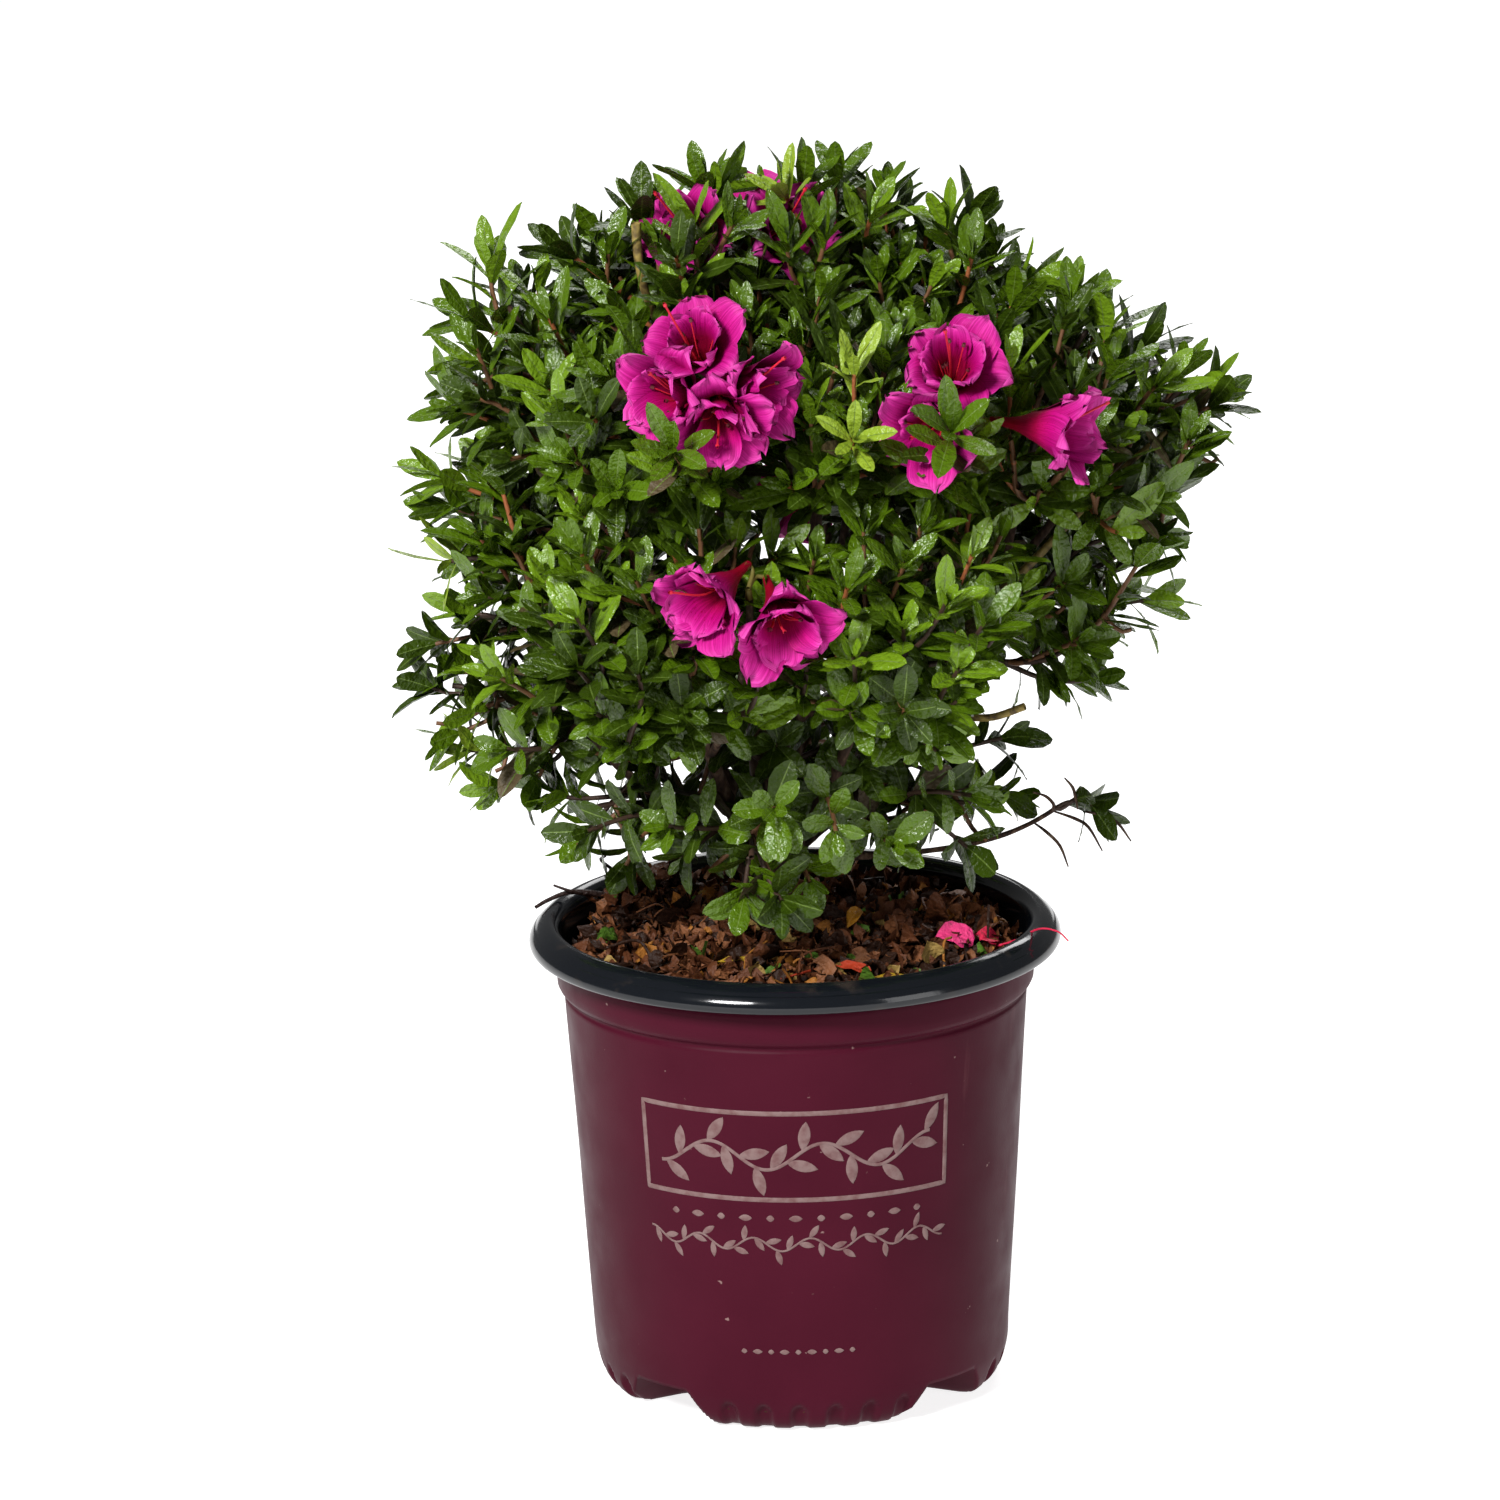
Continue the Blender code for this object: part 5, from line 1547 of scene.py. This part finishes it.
def make_truss(name, limb, mats, stalk_mats):
    rng = np.random.default_rng(sum(map(ord, name)))
    petals, parts = Patchwork(), Patchwork()
    fork = np.array(limb.at(1) + limb.along(1) * 5)
    parts.rod([limb.at(1)[:], fork], (TIP_RADIUS, 1.3), 0)
    large, closings = FLOWER_FORM[name]
    for (place, way), closed in zip(TRUSSES[name][2:], closings):
        centre = np.array(place, float)
        facing = unit(np.array(way, float))
        side = unit(np.cross(facing, (0.3, 0.2, 0.9)))
        across = np.cross(facing, side)
        flower = (centre, facing, side, across, large, closed)
        back = centre - facing * TUBE_LENGTH
        middle = (fork + back) / 2 - facing * 3
        stalk = smooth_line([fork, middle, back], 4)
        parts.rod(stalk, np.full(len(stalk), 0.9), 0)
        add_calyx(parts, back, facing, side, across)
        turn = rng.uniform(0, math.tau)
        for k in range(PETALS):
            angle = turn + k * math.tau / PETALS + rng.uniform(-0.12, 0.12)
            petals.add(petal_grid(flower, angle, rng)[None], 0)
        for k in range(PETALOIDS):
            angle = turn + (k + rng.uniform(0.2, 0.8)) * math.tau / PETALOIDS
            petals.add(petal_grid(flower, angle, rng, True)[None], 0)
        add_stamens(parts, flower, rng)
    ob = petals.build(name + "_petals", mats)
    paint_petals(ob)
    piece(ob, "petal_pink", name)
    piece(parts.build(name + "_stalks", stalk_mats), "petal_pink", name)


def paint_petals(ob):
    """Marks each point with how far out, how far across and on which petal it lies."""
    each = PETAL_ROWS * PETAL_COLUMNS
    count = len(ob.data.vertices) // each
    u = np.repeat(np.linspace(0, 1, PETAL_ROWS), PETAL_COLUMNS)
    v = np.tile(np.linspace(-1, 1, PETAL_COLUMNS), PETAL_ROWS)
    marks = np.stack([np.stack((u, v, np.full(each, k * 1.7)), axis=1) for k in range(count)])
    attribute = ob.data.attributes.new("petal", "FLOAT_VECTOR", "POINT")
    attribute.data.foreach_set("vector", marks.astype(np.float32).ravel())


def add_calyx(patches, back, facing, side, across):
    """Five small green sepals at the foot of the tube."""
    for k in range(5):
        a = k * math.tau / 5
        around = side * math.cos(a) + across * math.sin(a)
        way = unit(facing + around * 0.5)
        patches.add(leaf_grids([back - facing], [way], [facing - around], [5.5], [0.4], [-0.4],
                               [0.1], [0.1], [0.1]), 0)


def add_stamens(patches, flower, rng):
    """A long curved pistil among shorter stamens."""
    centre, facing, side, across = flower[:4]
    lift = np.array((0, 0, 1.0))
    for k in range(STAMENS):
        long = k == 0
        a = rng.uniform(0, math.tau)
        around = side * math.cos(a) + across * math.sin(a)
        length = rng.uniform(24, 30) if long else rng.uniform(8, 15)
        start = centre - facing * 8 + around * 1.0
        end = centre + facing * length + around * rng.uniform(4, 9) + lift * (7 if long else 2)
        middle = (start + end) / 2 - lift * 3.5 - around * 1.5
        path = smooth_line([start, middle, end], 5)
        patches.rod(path, np.full(len(path), 0.45 if long else 0.3), 1, 5)
        knob = np.array([end, end + unit(end - middle) * 1.4])
        patches.rod(knob, (0.85, 0.6), 1 if long else 2, 5)


def make_flowers(limbs):
    petal_mats = [petal_material()]
    part_mats = [
        twig_material("flower_stalk", (0.12, 0.10, 0.02)),
        twig_material("stamen", (0.50, 0.010, 0.030)),
        twig_material("anther", (0.10, 0.02, 0.02)),
    ]
    for name in TRUSSES:
        make_truss(name, limbs[name], petal_mats, part_mats)


# ---------------------------------------------------------------- stage


def make_stage():
    """A wide plain floor that glows enough to be white, with the pot's soft shadow on it."""
    edge = (-FLOOR_REACH, FLOOR_REACH)
    floor = Patchwork()
    floor.add([[[(x, y, 0) for x in edge] for y in edge]], 0)
    mat = material("floor_white", grey(0.50), 0.8, 0.1)
    bsdf = mat.node_tree.nodes["Principled BSDF"]
    bsdf.inputs["Emission Color"].default_value = (1, 1, 1, 1)
    bsdf.inputs["Emission Strength"].default_value = FLOOR_GLOW
    floor.build("floor", [mat])


def area_light(name, place, target, size, energy):
    data = bpy.data.lights.new(name, "AREA")
    data.shape = "RECTANGLE"
    data.size, data.size_y = size
    data.energy = energy
    ob = bpy.data.objects.new(name, data)
    ob.location = Vector(place) * MM
    ob.rotation_euler = (Vector(target) - Vector(place)).to_track_quat("-Z", "Y").to_euler()
    bpy.context.scene.collection.objects.link(ob)


def make_lights():
    """Soft light from the upper left in front, a weaker fill, and white all round."""
    world = bpy.data.worlds.new("studio")
    world.use_nodes = True
    nodes, links = world.node_tree.nodes, world.node_tree.links
    background = nodes["Background"]
    background.inputs["Color"].default_value = (1, 1, 1, 1)
    path = nodes.new("ShaderNodeLightPath")
    strength = nodes.new("ShaderNodeMapRange")
    strength.inputs["To Min"].default_value = AMBIENT
    links.new(path.outputs["Is Camera Ray"], strength.inputs["Value"])
    links.new(strength.outputs["Result"], background.inputs["Strength"])
    bpy.context.scene.world = world
    for name, look in LIGHTS.items():
        area_light(name, *look)
    bpy.context.scene.view_settings.view_transform = "Standard"


def make_camera():
    down = math.sin(CAMERA_ELEVATION)
    ahead = Vector((0, math.cos(CAMERA_ELEVATION), -down))
    right = Vector((1, 0, 0))
    up = right.cross(ahead)
    c, s = math.cos(CAMERA_ROLL), math.sin(CAMERA_ROLL)
    x_axis, y_axis = right * c - up * s, right * s + up * c
    data = bpy.data.cameras.new("camera")
    data.sensor_width = SENSOR
    data.lens = SENSOR * CAMERA_DISTANCE / CAMERA_VIEW_WIDTH
    data.clip_end = 100
    ob = bpy.data.objects.new("camera", data)
    turn = Matrix((x_axis, y_axis, -ahead)).transposed().to_4x4()
    ob.matrix_world = Matrix.Translation((CAMERA_TARGET - ahead * CAMERA_DISTANCE) * MM) @ turn
    bpy.context.scene.collection.objects.link(ob)
    bpy.context.scene.camera = ob


# ---------------------------------------------------------------- the scene


make_camera()
make_lights()
make_stage()
make_pot()
make_ornament()
mix_look = frame["nodes"]["potting_mix"].data.materials
mix_look.clear()
mix_look.append(mix_material())
make_litter()
space = spaces()
limbs = grow_limbs(space)
make_bark(limbs)
make_foliage(space, limbs)
make_flowers(limbs)

bpy.context.view_layer.update()
